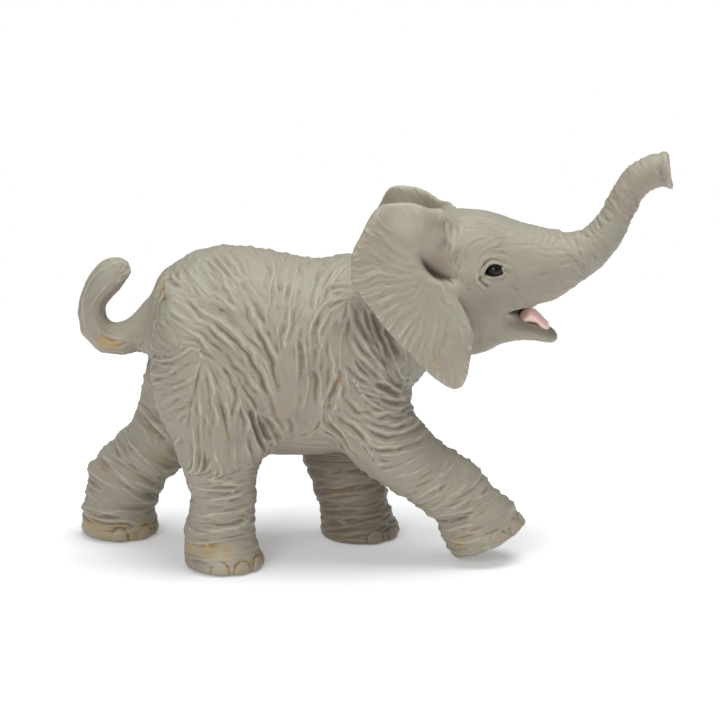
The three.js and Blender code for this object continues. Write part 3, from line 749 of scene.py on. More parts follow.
# %% Creases of flank, shoulder and legs
FLANK_CREASES = (
    (0.55, 0.34, -21.1, 13.6, -19.9, 11.8, -18.7, 9.9, -17.2, 7.4, -16.2, 4.8, -15.5, 1.8),
    (0.65, 0.36, -21.8, 12, -20.6, 9.2, -19, 6.2, -17.2, 3.5, -16.2, 1.4, -15.3, -1.2, -14.6, -3.9,
     -13.6, -6.7),
    (0.4, 0.3, -23.9, 12.7, -22.2, 9.9, -20.2, 7, -18.7, 4.8, -17.2, 2.6),
    (0.4, 0.3, -27.6, 10, -24.3, 8.1, -21.1, 5.6, -18.5, 2.6, -16.5, 0.4, -15.7, -2.1),
    (0.65, 0.36, -31.2, 10.6, -28.2, 7.9, -24.6, 5.6, -21.5, 2.6, -19, -0.4, -17.2, -3.5, -15.8, -6.7,
     -14.4, -11.3),
    (0.45, 0.32, -34.3, 8.8, -30.8, 6.2, -27.3, 3.9, -23.8, 0.9, -21.1, -1.8, -19.4, -4.4, -17.2, -7,
     -15.8, -9.9),
    (0.4, 0.3, -34.7, 6, -31.7, 4, -28.2, 2.8, -25.5, 0, -22.9, -2.5, -21.6, -5.3, -19.9, -8.1),
    (0.35, 0.3, -26, 19.4, -23.9, 17.2, -21.5, 14.8),
    (0.45, 0.3, -23.4, 20.1, -22, 18, -20.2, 15.5, -18.3, 12.7, -16.7, 10.4, -16.2, 8.4),
    (0.4, 0.3, -21.1, 19.4, -19.4, 15.8, -17.6, 12.7, -16.4, 10, -15.8, 6.7),
    (0.55, 0.34, -17.2, 18.5, -16.2, 16.9, -15.8, 15.5, -16.5, 13.6, -17.1, 11.6),
    (0.6, 0.34, -13.2, 17.2, -13.7, 14.4, -14.1, 11.4, -14.3, 8.4, -14.6, 5.6),
    (0.5, 0.32, -11.8, 17.6, -12, 14.4, -12.8, 11.4, -13.4, 8.8, -13.6, 6.3, -13.9, 2.6),
    (0.45, 0.32, -10.2, 17.2, -10.4, 12.7, -10.9, 8.8, -11.8, 5.6, -12.5, 2.6),
    (0.45, 0.32, -8.3, 16.5, -9.5, 13.2, -10, 8.4, -10.4, 3.5, -10.2, -1.8, -10.6, -7, -11.1, -11.4),
    (0.45, 0.32, -6, 17.2, -7.4, 15, -8.6, 10.9, -9.2, 5.3, -9, 0, -8.8, -5.3, -9.3, -10.2),
    (0.65, 0.36, -2.3, 10.7, -4.6, 10, -6.3, 8.4, -7.4, 6.2, -8.1, 3.9, -8.3, 0, -7.9, -4.4, -8.1, -9.2),
    (0.45, 0.32, -3.9, 7.4, -5.1, 4.4, -5.6, 0.9, -5.8, -3.5, -6, -7, -6.7, -10.6),
    (0.4, 0.3, -3.5, 16.7, -4.9, 15.5, -6.7, 12.7, -7.7, 10.2),
    (0.55, 0.34, -1.1, 12.1, -2.8, 13, -4.8, 12.7, -6.2, 11.3, -7, 9.7),
    (0.35, 0.3, -2.6, 6.7, -3.7, 4.4, -4, 1.8, -4, -1.1),
    (0.65, 0.36, -1.2, 12, -0.2, 10, 0.7, 8.1),
    (0.75, 0.4, -0.9, 10, -0.4, 7.9, 0.5, 5.6, 1.2, 3.2),
    (0.7, 0.38, 0.4, 9.9, 1.4, 7.4, 1.9, 4.8),
    (0.75, 0.42, 1.9, 8.4, 3.3, 5.3, 4.6, 2.3, 5.8, -0.4),
    (0.8, 0.5, 4, 6.2, 5.5, 3.2, 7, 0.4),
    (0.7, 0.38, -1.2, 4.8, 0, 2.3, 1.8, 0.4, 3.7, -1.4, 5.5, -3),
    (0.65, 0.38, 1.4, 2.1, 3.2, 0.4, 4.9, -1.1, 6, -2.5),
    (0.45, 0.34, -2.6, -0.7, -0.9, -2.8, 1.8, -4.2),
    (0.6, 0.36, 2.5, -4.2, 4.9, -5.5, 7.2, -6),
    (0.5, 0.34, 3.2, -6.9, 5.6, -7.6, 7.6, -7.4),
    (0.45, 0.34, -3, -5.8, -0.9, -8.3, 2.6, -9.7, 6.2, -10, 8.4, -9),
    (0.6, 0.38, 0.4, -11.3, 2.8, -13, 6.2, -13.7, 9.2, -12.8, 11.3, -11.4),
    (0.55, 0.36, 0.7, -14.1, 3.2, -15.8, 6.3, -15.8, 9.7, -14.6, 12, -14.1),
    (0.4, 0.32, 2.1, -11.6, 5.3, -12, 8.4, -11.3),
    (0.75, 0.42, -3.3, -1.8, -4.2, -4.2, -5.1, -6.7, -5.3, -9, -3.5, -10.6, -1.4, -12, 0.4, -14.1,
     1.4, -16.2),
    (0.65, 0.36, -5.8, -10.6, -3.9, -13, -1.9, -15.7, 0, -18),
    (0.45, 0.32, -6.7, -12.3, -4.6, -13.7, -2.6, -16.2, -0.9, -18.7),
    (0.6, 0.36, -3.9, -1.6, -3.3, -4.2, -3, -6.7),
    (0.4, 0.32, -10.6, -13.7, -8.8, -12.7, -7, -10.6),
    (0.35, 0.34, -12.3, -14.8, -8.4, -15.1, -4.9, -15),
    (0.45, 0.32, -27.3, 0.4, -26.8, -4.4, -26.2, -8.8, -26.4, -14.1, -26.2, -18.5),
    (0.75, 0.42, -25.3, -6, -24.6, -7.9, -23.9, -10.4, -23.2, -13, -23.1, -15.8, -22.5, -18.8),
    (0.5, 0.34, -21.8, -3.2, -22, -6.7, -22.7, -9.7, -23.2, -12.5),
    (0.5, 0.34, -24.5, -0.5, -23.1, -3.2, -22, -6, -21.6, -7.7),
    (0.35, 0.3, -29.4, -4, -28.9, -8.4, -28.5, -13.7, -28.5, -18.3),
    (0.35, 0.3, -30.6, -9.2, -30.1, -12.7, -29.9, -16.7),
    (0.85, 0.48, -19.5, -8.6, -18.8, -11.4, -17.8, -14.1, -16.5, -16),
    (0.8, 0.48, -18.3, -9.5, -17.1, -12, -15.8, -14.3),
    (0.7, 0.42, -17.2, -9.5, -15.8, -12, -14.1, -14.3),
    (0.6, 0.38, -19.9, -12.7, -19, -15.5, -18, -18),
    (0.55, 0.36, -13, -10.2, -12.3, -11.6, -12.1, -13.4),
    (0.5, 0.34, -20.6, -13.4, -21.1, -16.2, -20.9, -19.4),
    (0.4, 0.26, -36.1, 1.8, -34.1, 0.5, -32, 1.2, -29.9, 2.5),
    (0.4, 0.26, -36.1, -0.4, -33.8, -0.7, -31.3, 0.4, -28.9, 1.9),
    (0.4, 0.26, -35.9, -2.3, -33.4, -2.5, -31, -1.2, -28.7, -0.2),
    (0.4, 0.26, -35.6, -4.2, -32.7, -3.9, -29.9, -2.5),
    (0.4, 0.26, -35.2, -6, -32.6, -5.6, -29.6, -4),
    (0.4, 0.26, -34.8, -7.7, -32.2, -7.2, -29.7, -6),
    (0.35, 0.26, -34.3, -9.7, -32, -9, -30.3, -7.9),
    (0.35, 0.26, -33.8, -11.8, -31.9, -10.7, -30.3, -9.7),
    (0.35, 0.26, -33.1, -13.7, -31.3, -12.7, -29.9, -11.4),
    (0.4, 0.28, -35.6, 7.4, -33.8, 6.2, -32.7, 4.4, -31.7, 2.6),
    (0.35, 0.28, -35.9, 4.8, -34.7, 3.5, -33.1, 2.3),
    (0.35, 0.26, -30.8, 15, -29.7, 13.2, -28.7, 11.3),
    (0.35, 0.26, -33.1, 12.3, -31, 11.4, -28.5, 11.1),
    (0.3, 0.26, -28.2, 8.4, -26.8, 9.5, -25, 9.9),
)
print("creases of the flank:", len(FLANK_CREASES))

# %% Creases of the head
HEAD_CREASES = (
    (0.28, 0.24, 15.1, 24.5, 18.7, 24.1, 22.2, 23.6, 24.8, 22.7, 27.1, 22),
    (0.24, 0.22, 16.9, 25.3, 21.1, 24.6, 25.2, 23.8, 27.5, 22.7),
    (0.35, 0.26, 19.4, 26.2, 22.9, 25.9, 25.7, 25.2, 27.8, 24.3),
    (0.25, 0.26, 14.9, 23.8, 14.9, 21.1, 14.3, 18.6),
    (0.35, 0.28, 16.5, 23.9, 17.2, 21.8, 16.7, 19.4),
    (0.35, 0.26, 15.5, 24.3, 16.2, 21.1, 15.7, 18),
    (0.3, 0.24, 18, 23.6, 18.1, 21.5, 17.6, 19.4),
    (0.3, 0.24, 18.7, 17.2, 19, 19.4, 20.4, 20.8, 22.5, 21.5),
    (0.26, 0.22, 19.5, 16.5, 20.1, 18.7, 21.5, 20.1, 23.6, 20.8),
    (0.3, 0.24, 20.6, 15.8, 21.1, 17.8, 22.5, 18.8, 24.5, 19, 26.4, 18.1, 27.6, 16.9),
    (0.5, 0.2, 21.5, 15.8, 22, 17.1, 23.2, 17.8, 24.6, 17.6, 25.7, 16.9),
    (0.42, 0.27, 25.5, 15.8, 26, 15.6, 26.7, 15.1),
    (0.8, 0.22, 21.5, 15, 21.2, 14.1, 21.8, 13.3, 22.6, 12.9),
    (0.3, 0.2, 22.4, 14.3, 23.6, 13.9, 25, 14.3, 26, 15),
    (0.22, 0.22, 20.8, 10.9, 22.2, 11.3, 23.6, 11.3),
    (0.22, 0.22, 19.4, 10, 21.5, 10.2, 23.2, 10.2),
    (0.28, 0.24, 24.6, 13, 26.4, 12, 27.5, 10.6),
    (0.3, 0.24, 28.2, 19.9, 30.1, 20.1, 32.2, 19.4, 34.5, 19),
    (0.24, 0.2, 31.7, 18.3, 33.1, 18, 34.5, 18.1),
    (0.24, 0.22, 29.7, 13.9, 31.2, 14.8, 32.9, 15.3, 34.5, 15.8),
    (0.24, 0.22, 32.6, 12.8, 33.8, 13.6, 35.2, 13.9),
    (0.26, 0.22, 34, 17.4, 35.4, 16.9, 37.1, 17.2),
    (0.26, 0.22, 35.6, 15.3, 36.4, 16.2, 37.5, 16.7),
    (0.24, 0.2, 27.8, 21.8, 28.9, 22.9, 30.3, 23.1),
    (0.22, 0.22, 26.4, 15, 28.2, 13.7, 29.9, 12),
    (0.35, 0.3, 20.8, 6.7, 21.1, 4.6, 20.9, 2.5),
)
print("creases of the head:", len(HEAD_CREASES))

# %% Creases of the ear
EAR_CREASES = (
    (0.55, 0.32, 13.8, 13.2, 14.6, 10.9, 16, 8.6, 17.8, 6.2, 18.8, 4.2),
    (0.4, 0.28, 15.3, 12.8, 16.7, 10.9, 18.1, 8.4, 19.2, 6.2),
    (0.3, 0.26, 14.3, 11.3, 15.1, 8.8, 15.7, 6.9),
    (0.25, 0.24, 12.4, 11.6, 11.7, 9.8, 11.2, 8.2),
    (0.25, 0.24, 11.2, 13.4, 9.6, 11.8, 8.2, 10.6),
)
print("creases of the ear:", len(EAR_CREASES))

# %% Creases of the trunk
TRUNK_CREASES = (
    (0.4, 0.26, 37.5, 21.8, 38.2, 20.1, 39.1, 18.3),
    (0.4, 0.26, 39.4, 22.7, 39.8, 21.5, 40.3, 20.2),
    (0.4, 0.26, 40.5, 23.2, 41, 22, 41.7, 20.9),
    (0.4, 0.26, 41.7, 24.5, 42.2, 23.4, 42.9, 22.7),
    (0.36, 0.24, 42.8, 25.7, 43.3, 24.8, 44, 24.1),
    (0.34, 0.24, 43.8, 26.9, 44.5, 26, 45.2, 25.2),
    (0.3, 0.24, 44.7, 28.2, 45.4, 27.1, 46.1, 26.2),
    (0.4, 0.26, 45.9, 30.3, 47, 29.2, 48.2, 28.2),
    (0.4, 0.26, 46.8, 31, 47.9, 29.9, 49.1, 28.9),
    (0.26, 0.24, 43.3, 20.6, 44.2, 20.2, 45.2, 20.1),
    (0.24, 0.24, 42.2, 18.8, 43.3, 18.7, 44.5, 18.7),
    (0.34, 0.22, 51.6, 35.7, 51.9, 34.8, 52.6, 34.1),
    (0.3, 0.22, 52.4, 35.9, 52.3, 35, 53, 34.5),
)
print("creases of the trunk:", len(TRUNK_CREASES))

# %% Carve the drawn folds
BODY_PARTS = ("torso", "right_hind_leg", "right_front_leg")
HEAD_PARTS = ("head", "trunk", "lower_jaw")
STROKE_SHARE = 0.72
TRUNK_SHARE = 0.6
STROKE_POWER = 1.5
STROKE_SPREAD = 1.1
folds = Carving(len(points))
drawn = []
for rows, parts, share in (
    (FLANK_CREASES, BODY_PARTS, 1.0),
    (HEAD_CREASES, HEAD_PARTS, 1.0),
    (EAR_CREASES, ("right_ear",), 1.0),
    (TRUNK_CREASES, ("trunk",), TRUNK_SHARE),
):
    strokes = [(row[0], row[1], tuple(zip(row[2::2], row[3::2]))) for row in rows]
    for depth, width, places, facing in throw_all(strokes, parts):
        carved = share * STROKE_SHARE * depth**STROKE_POWER
        folds.stroke(carved, STROKE_SPREAD * width, places, facing)
        drawn.append(places)
print("strokes laid:", len(drawn), "deepest:", round(float(folds.depth.max()), 2), "mm")

# %% [markdown]
# ## Combing the skin
# Between the drawn folds the whole skin is wrinkled, and the wrinkles run with the body: round
# the legs, along the tail, down the rump, across the chest. So a direction is combed into the
# space round the skin. It could be painted on by hand point by point, but a few guides give it
# where it is known: each drawn stroke, rings round the limbs and the trunk, lines along the tail.
# Every other place takes a blend of the guides near it.

# %% Lines for the guides
LIMB_RINGS = {
    # radius in mm, strength, lean of the rings in degrees, centre-line points in mm
    "right_hind_leg": (7.0, 1.0, 0.0, (
        (-26.4, -11.2, 0.0), (-26.6, -11.2, 8.0), (-27.0, -11.0, 15.0), (-27.6, -11.0, 18.5))),
    "left_hind_leg": (6.5, 1.0, 0.0, (
        (-45.6, 8.0, 0.0), (-45.5, 8.0, 6.0), (-43.0, 8.3, 12.0), (-38.1, 8.7, 18.0),
        (-34.0, 8.9, 23.0))),
    "right_front_leg": (6.3, 1.0, 17.0, (
        (20.4, -6.8, 3.3), (18.6, -6.9, 6.6), (16.0, -7.2, 10.2), (12.7, -7.5, 13.8),
        (8.6, -8.0, 16.6), (5.0, -8.3, 19.4))),
    "left_front_leg": (6.3, 1.0, 0.0, (
        (-2.6, 6.5, 0.0), (-3.6, 6.5, 7.0), (-4.7, 7.2, 14.0), (-3.4, 8.2, 20.0), (-1.5, 9.4, 24.0))),
    "trunk": (4.5, 1.0, 0.0, (
        (34.6, 0.0, 53.0), (38.0, 0.0, 54.9), (40.6, 0.0, 57.8), (42.5, 0.0, 61.0),
        (44.4, 0.0, 64.3), (46.2, 0.0, 67.0), (48.2, 0.0, 68.7), (51.0, 0.0, 69.3))),
    "torso": (16.0, 0.10, 0.0, (
        (-36.0, 0.0, 38.0), (-24.0, 0.0, 38.0), (-12.0, 0.0, 38.0), (0.0, 0.0, 39.0),
        (8.0, 0.0, 42.0))),
}
TAIL_LINE = (
    (-37.0, 0.0, 42.5), (-39.7, 0.0, 40.5), (-42.2, 0.0, 39.1), (-44.7, 0.0, 38.5),
    (-47.4, 0.0, 38.7), (-49.3, 0.0, 40.7), (-49.9, 0.0, 43.4), (-49.3, 0.0, 45.8),
    (-47.9, 0.0, 48.3), (-46.3, 0.0, 50.1), (-44.7, 0.0, 51.1), (-43.1, 0.0, 51.6),
)
RUMP_LINE = (
    (-38.5, 0.0, 46.0), (-39.3, 0.0, 41.0), (-39.0, 0.0, 36.0), (-37.0, 0.0, 31.0), (-34.0, 0.0, 27.0),
)
RUMP_ASIDE = (-8.0, -5.5, -3.0, 0.0, 3.0, 5.5, 8.0)
RUMP_CURVE = 0.04
CHEST_LINE = (
    (13.0, -8.0, 0.0), (14.5, -4.0, 0.0), (15.0, 0.0, 0.0), (14.5, 4.0, 0.0), (13.0, 8.0, 0.0),
)
CHEST_PLACES = (
    (0.0, 0.0, 44.0), (0.3, 0.0, 41.0), (0.2, 0.0, 38.0), (-0.6, 0.0, 35.0), (-1.6, 0.0, 32.0),
    (-3.4, 0.0, 28.5),
)
print("limbs and trunk with rings:", len(LIMB_RINGS), "points along the tail:", len(TAIL_LINE))

# %% Lay the guides
GUIDE_SPACING = 1.2
RING_SPACING = 1.8
RING_POINTS = 18
STROKE_GUIDES = 1.6
TAIL_GUIDES = 2.0
TAIL_ASIDE = 2.0
HEAD_GUIDES = 0.6
RUMP_GUIDES = 1.4
CHEST_GUIDES = 1.2
guide_places, guide_ways, guide_strengths = [], [], []


def dense_line(path, spacing=GUIDE_SPACING):
    """Points and directions at an even spacing along a line of straight stretches."""
    path = np.array(path, float)
    lengths = np.linalg.norm(np.diff(path, axis=0), axis=1)
    reach = np.concatenate([[0.0], np.cumsum(lengths)])
    at = np.linspace(0.0, reach[-1], max(2, int(reach[-1] / spacing)))
    places = np.stack([np.interp(at, reach, path[:, k]) for k in range(3)], 1)
    ways = np.gradient(places, axis=0)
    return places, ways / np.linalg.norm(ways, axis=1)[:, None]


def add_guides(places, ways, strength):
    guide_places.append(places)
    guide_ways.append(ways)
    guide_strengths.append(np.full(len(places), strength))


def add_line(path, shift, strength):
    """Guides along a line that is moved by shift."""
    places, ways = dense_line(path)
    add_guides(places + np.array(shift), ways, strength)


for radius, strength, lean, path in LIMB_RINGS.values():
    middles, axes = dense_line(path, RING_SPACING)
    cos, sin = math.cos(math.radians(lean)), math.sin(math.radians(lean))
    axes = axes @ np.array([[cos, 0.0, -sin], [0.0, 1.0, 0.0], [sin, 0.0, cos]])
    for middle, axis in zip(middles, axes):
        across = np.cross(axis, (0.0, 1.0, 0.0))
        across /= np.linalg.norm(across)
        up = np.cross(axis, across)
        turn = np.linspace(0.0, 2 * math.pi, RING_POINTS, endpoint=False)[:, None]
        ring = middle + radius * (np.cos(turn) * across + np.sin(turn) * up)
        add_guides(ring, -np.sin(turn) * across + np.cos(turn) * up, strength)
for places in drawn:
    picked = places[:: max(1, int(GUIDE_SPACING / STROKE_SPACING))]
    if len(picked) > 1:
        ways = np.gradient(picked, axis=0)
        ways /= np.linalg.norm(ways, axis=1)[:, None] + 1e-6
        add_guides(picked, ways, STROKE_GUIDES)
for side in (-1.0, 1.0):
    add_line(TAIL_LINE, (0.0, side * TAIL_ASIDE, 0.0), TAIL_GUIDES)
    head_line = (
        (11.0, side * 4.0, 59.5), (17.0, side * 4.0, 60.5), (24.0, side * 3.5, 58.0),
        (31.0, side * 3.0, 55.5),
    )
    add_line(head_line, (0.0, 0.0, 0.0), HEAD_GUIDES)
for aside in RUMP_ASIDE:
    add_line(RUMP_LINE, (RUMP_CURVE * aside**2, aside, 0.0), RUMP_GUIDES)
for shift in CHEST_PLACES:
    add_line(CHEST_LINE, shift, CHEST_GUIDES)
guide_places = np.vstack(guide_places).astype(np.float32)
guide_ways = np.vstack(guide_ways).astype(np.float32)
guide_strengths = np.concatenate(guide_strengths).astype(np.float32)
print("guides:", len(guide_places))

# %% [markdown]
# A wrinkle has no front or back, so each guide is kept as the product of its direction with
# itself, which is the same both ways. The products are added up in small cells of space round the
# skin, and the strongest direction of each sum is the cell's own.

# %% Blend the guides into cells
CELL = 1.0
GUIDE_SOFTNESS = 1.6
BLOCK = 4000
PAIRS = ((0, 0), (0, 1), (0, 2), (1, 1), (1, 2), (2, 2))
grid_low = points.min(0) - 4 * CELL
grid_size = np.ceil((points.max(0) + 4 * CELL - grid_low) / CELL).astype(int)
cell_of = np.floor((points - grid_low) / CELL).astype(int)
used = np.zeros(grid_size, bool)
for shift in np.ndindex(3, 3, 3):
    moved = cell_of + np.array(shift) - 1
    used[moved[:, 0], moved[:, 1], moved[:, 2]] = True
used_cells = np.argwhere(used)
cell_places = (grid_low + (used_cells + 0.5) * CELL).astype(np.float32)
products = np.stack([guide_ways[:, i] * guide_ways[:, j] for i, j in PAIRS], 1)
combed = np.zeros(tuple(grid_size) + (3,), np.float32)
guide_square = (guide_places**2).sum(1)
for start in range(0, len(cell_places), BLOCK):
    block = cell_places[start : start + BLOCK]
    apart = (block**2).sum(1)[:, None] + guide_square - 2.0 * block @ guide_places.T
    weight = guide_strengths / (np.maximum(apart, 0.0) + GUIDE_SOFTNESS**2) ** 2
    sums = weight @ products
    tensor = sums[:, [0, 1, 2, 1, 3, 4, 2, 4, 5]].reshape(-1, 3, 3)
    tensor /= np.trace(tensor, axis1=1, axis2=2)[:, None, None]
    index = used_cells[start : start + BLOCK]
    combed[index[:, 0], index[:, 1], index[:, 2]] = np.linalg.eigh(tensor)[1][:, :, 2]
print("cells combed:", len(cell_places))

# %% [markdown]
# ## Wrinkles that follow the comb
# Random lumps in space have no direction. Averaged along the combed lines they stretch into long
# strands that fork and meet, as wrinkles do. Stretched textures would do it on a flat sheet, but
# here the way turns from place to place. The first size is used as it is, as soft rolls. In the
# other three a narrow ridge is raised wherever the value passes through zero, so the ridges form a
# stretched net: folds, wrinkles and fine lines. On an ear the way is the ray from its root.

# %% Stretch noise along the comb
STEP = 0.45
WRINKLE_SIZES = (
    # lattice spacing in mm, steps to each side, seed
    (1.9, 15, 10),
    (1.4, 15, 11),
    (0.8, 9, 12),
    (0.5, 6, 13),
)
EAR_ROOTS = {"right_ear": (11.2, -10.9, 53.0), "left_ear": (11.4, 11.9, 51.0)}
ear_points = {name: np.flatnonzero(part == SKIN_PARTS.index(name)) for name in EAR_ROOTS}
flat_combed = combed.reshape(-1, 3)
row_step = (grid_size[1] * grid_size[2], grid_size[2], 1)


def way_at(places, before):
    """The combed direction at each place, turned to agree with the one before."""
    base, t = corner_parts((places - grid_low) / CELL - 0.5)
    base = np.clip(base, 0, grid_size - 2)
    start = base @ np.array(row_step)
    total = np.zeros_like(before)
    for i, j, k in np.ndindex(2, 2, 2):
        share = np.abs(1 - i - t[:, 0]) * np.abs(1 - j - t[:, 1]) * np.abs(1 - k - t[:, 2])
        way = flat_combed[start + i * row_step[0] + j * row_step[1] + k]
        agree = np.einsum("ij,ij->i", way, before)
        total += way * (share * np.where(agree < 0, -1.0, 1.0)).astype(np.float32)[:, None]
    for ear, root in EAR_ROOTS.items():
        on_ear = ear_points[ear]
        ray = places[on_ear] - np.array(root, np.float32)
        agree = np.einsum("ij,ij->i", ray, before[on_ear])
        total[on_ear] = ray * np.where(agree < 0, -1.0, 1.0)[:, None]
    length = np.linalg.norm(total, axis=1)[:, None]
    return np.where(length > 1e-3, total / np.maximum(length, 1e-6), before).astype(np.float32)


lumps = [Lumps(spacing, seed) for spacing, _, seed in WRINKLE_SIZES]
strands = [noise(points) for noise in lumps]
start_way = way_at(points, np.ones_like(points))
for side in (1.0, -1.0):
    places, way = points.copy(), start_way * side
    for step in range(1, WRINKLE_SIZES[0][1] + 1):
        places = places + STEP * way
        way = way_at(places, way)
        for k, (_, reach, _) in enumerate(WRINKLE_SIZES):
            if step <= reach:
                share = 0.5 + 0.5 * math.cos(math.pi * step / (reach + 1))
                strands[k] = strands[k] + share * lumps[k](places)
strands = [strand / strand.std() for strand in strands]
print("strands:", [round(float(np.abs(strand).max()), 1) for strand in strands])

# %% [markdown]
# The wrinkles aren't equally deep everywhere. Legs are deeply ringed, the jaw and the trunk's tip
# are nearly smooth, and the ears carry fine rays only. Each part has its own depth for the four
# sizes, and the depths are blurred so that one part's skin fades into the next. Near a drawn fold,
# round the tail's root and on a few calm patches, the wrinkles are weaker.

# %% Wrinkle depths
EAR_DEPTHS = (0.03, 0.03, 0.04, 0.04)
WRINKLE_DEPTHS = {
    # rolls, folds, wrinkles and fine lines, in mm
    "torso": (0.07, 0.26, 0.12, 0.04),
    "head": (0.03, 0.09, 0.09, 0.04),
    "trunk": (0.03, 0.11, 0.10, 0.04),
    "lower_jaw": (0.0, 0.03, 0.05, 0.03),
    "right_ear": EAR_DEPTHS,
    "left_ear": EAR_DEPTHS,
    "tail": (0.05, 0.27, 0.13, 0.04),
    "right_hind_leg": (0.14, 0.29, 0.16, 0.05),
    "left_hind_leg": (0.15, 0.31, 0.17, 0.05),
    "right_front_leg": (0.14, 0.31, 0.17, 0.05),
    "left_front_leg": (0.15, 0.40, 0.20, 0.05),
}
DEPTH_BLUR = 14
depths = np.array([WRINKLE_DEPTHS[name] for name in SKIN_PARTS], np.float32)[part]
depths = around.blur(depths, DEPTH_BLUR)
print("deepest rolls, folds, wrinkles and lines, mm:", depths.max(0).round(2))

# %% Raise the wrinkles
PATCHY_SPACING = 5.0
PATCHY_SHARE = 0.35
RIDGE_WIDTH = 0.55
RIDGE_MEAN = 0.36
SOLE_BAND = 2.4
STROKE_CALM = 0.5
STROKE_CLEARANCE = 0.8
TAIL_ROOT_CALM = 0.7
TAIL_ROOT_REACH = 9.0
DAB_SPREAD = 1.3
CALM_PATCHES = (
    # picture place in mm, reach in mm, strength
    ((14.6, 21.5), 3.2, 0.85), ((13.6, 24.5), 2.4, 0.8), ((9.2, -3.5), 3.0, 0.7),
    ((26.2, 6.7), 1.8, 0.9), ((15.2, 18.5), 2.0, 0.6),
)


def dab(mask, patches):
    """Raises the mask softly round each patch, on the near side and on the far side."""
    for place, reach, strength in patches:
        hit = seen_at(*place)[0]
        if hit is None:
            print("patch off the skin:", place)
            continue
        for mirror in (1.0, -1.0):
            spot = to_sculptor(hit) * np.array([1.0, mirror, 1.0])
            apart = np.linalg.norm(points - spot.astype(np.float32), axis=1)
            mask = np.maximum(mask, strength * soft(apart, reach * DAB_SPREAD))
    return mask


def blank():
    """A value of 0 for every point of the skin."""
    return np.zeros(len(points), np.float32)


def ridged(strand):
    """Raises a narrow ridge wherever the value passes through zero."""
    return np.exp(-((strand / RIDGE_WIDTH) ** 2)) - RIDGE_MEAN


def fade(values, ends):
    """0 at the first end and 1 at the second."""
    return np.clip((values - ends[0]) / (ends[1] - ends[0]), 0, 1)


patchy = 0.9 + PATCHY_SHARE * Lumps(PATCHY_SPACING, 21)(points)
patchy = around.blur(np.clip(patchy, 0.35, 1.4), 2)
calm = 1.0 - STROKE_CALM * np.exp(-((folds.near / STROKE_CLEARANCE) ** 2))
tail_root = np.linalg.norm(points - np.array(TAIL_LINE[0], np.float32), axis=1)
calm *= 1.0 - TAIL_ROOT_CALM * soft(tail_root, TAIL_ROOT_REACH)
calm *= 1.0 - dab(blank(), CALM_PATCHES)
sole_fade = np.clip(points[:, 2] / SOLE_BAND, 0.12, 1.0) ** 1.5
wrinkles = depths[:, 0] * np.clip(strands[0], -2, 2)
for k, strand in enumerate(strands[1:]):
    wrinkles += depths[:, k + 1] * ridged(strand)
wrinkles *= patchy * calm * sole_fade
print("wrinkles alone:", round(float(wrinkles.min()), 2), "to", round(float(wrinkles.max()), 2), "mm")

# %% [markdown]
# An ear is a fan: fine ridges run from its root to its rim, close together and dividing on the way.
# Drawing each would take hundreds of strokes. So they are lumps again, but measured by the angle
# round the root, and each lump is a ray.

# %% Rays of the ears
RAYS_PER_RADIAN = (12.0, 24.0, 44.0)
RAY_DEPTHS = (0.17, 0.18, 0.13)
RAY_STRETCH = 0.14
RAY_BEND = 0.05
RAY_START = 3.0
RAY_FADE = 5.0
FLAT_OF_EAR = (0.45, 0.80)

ray_height = blank()
bend = Lumps(4.5, 51)
for ear, root in EAR_ROOTS.items():
    on_ear = ear_points[ear]
    offset = points[on_ear] - np.array(root, np.float32)
    reach = np.hypot(offset[:, 0], offset[:, 2])
    angle = np.arctan2(-offset[:, 0], offset[:, 2]) % (2 * math.pi)
    angle = angle + RAY_BEND * bend(points[on_ear])
    rays = np.zeros(len(on_ear), np.float32)
    for k, (count, depth) in enumerate(zip(RAYS_PER_RADIAN, RAY_DEPTHS)):
        stretch = reach * RAY_STRETCH * (1 + 0.5 * k)
        turned = np.stack([angle * count, stretch, offset[:, 1] * 0.1], 1)
        ray = Lumps(1.0, 52 + k)(turned.astype(np.float32))
        starts = np.clip((reach - RAY_START * (1 + k)) / RAY_FADE, 0.0, 1.0)
        rays += depth * starts * ridged(ray / ray.std())
    ray_height[on_ear] = rays * fade(np.abs(normals[on_ear, 1]), FLAT_OF_EAR)
ray_height = around.blur(ray_height, 1) * calm
print("rays up to", round(float(ray_height.max()), 2), "mm")

# %% [markdown]
# The trunk bends like a hose, so narrow rings cross it all the way up. They start as bumps on top
# of the head in front of the eyes and fade toward the smooth tip. Rings cut by an operator would
# be perfect circles. A wave along the trunk's line, shifted by lumps, is as uneven as the real one.

# %% Rings of the trunk
RING_LINE = (
    (23.0, 53.0), (28.0, 51.5), (33.0, 51.0), (37.0, 53.5), (40.0, 57.0), (43.0, 61.5),
    (46.0, 65.5), (49.0, 68.0), (52.0, 69.0),
)
RING_APART = 1.3
FINE_RINGS = 0.63
RING_DEPTH = 0.055
RING_BEND = 0.28
RING_TOP_START = (24.5, 27.0)
RING_SIDE_START = (32.0, 36.0)
RING_END = (43.0, 48.0)
RING_FACING = np.array([-0.7, 0.0, 0.7])

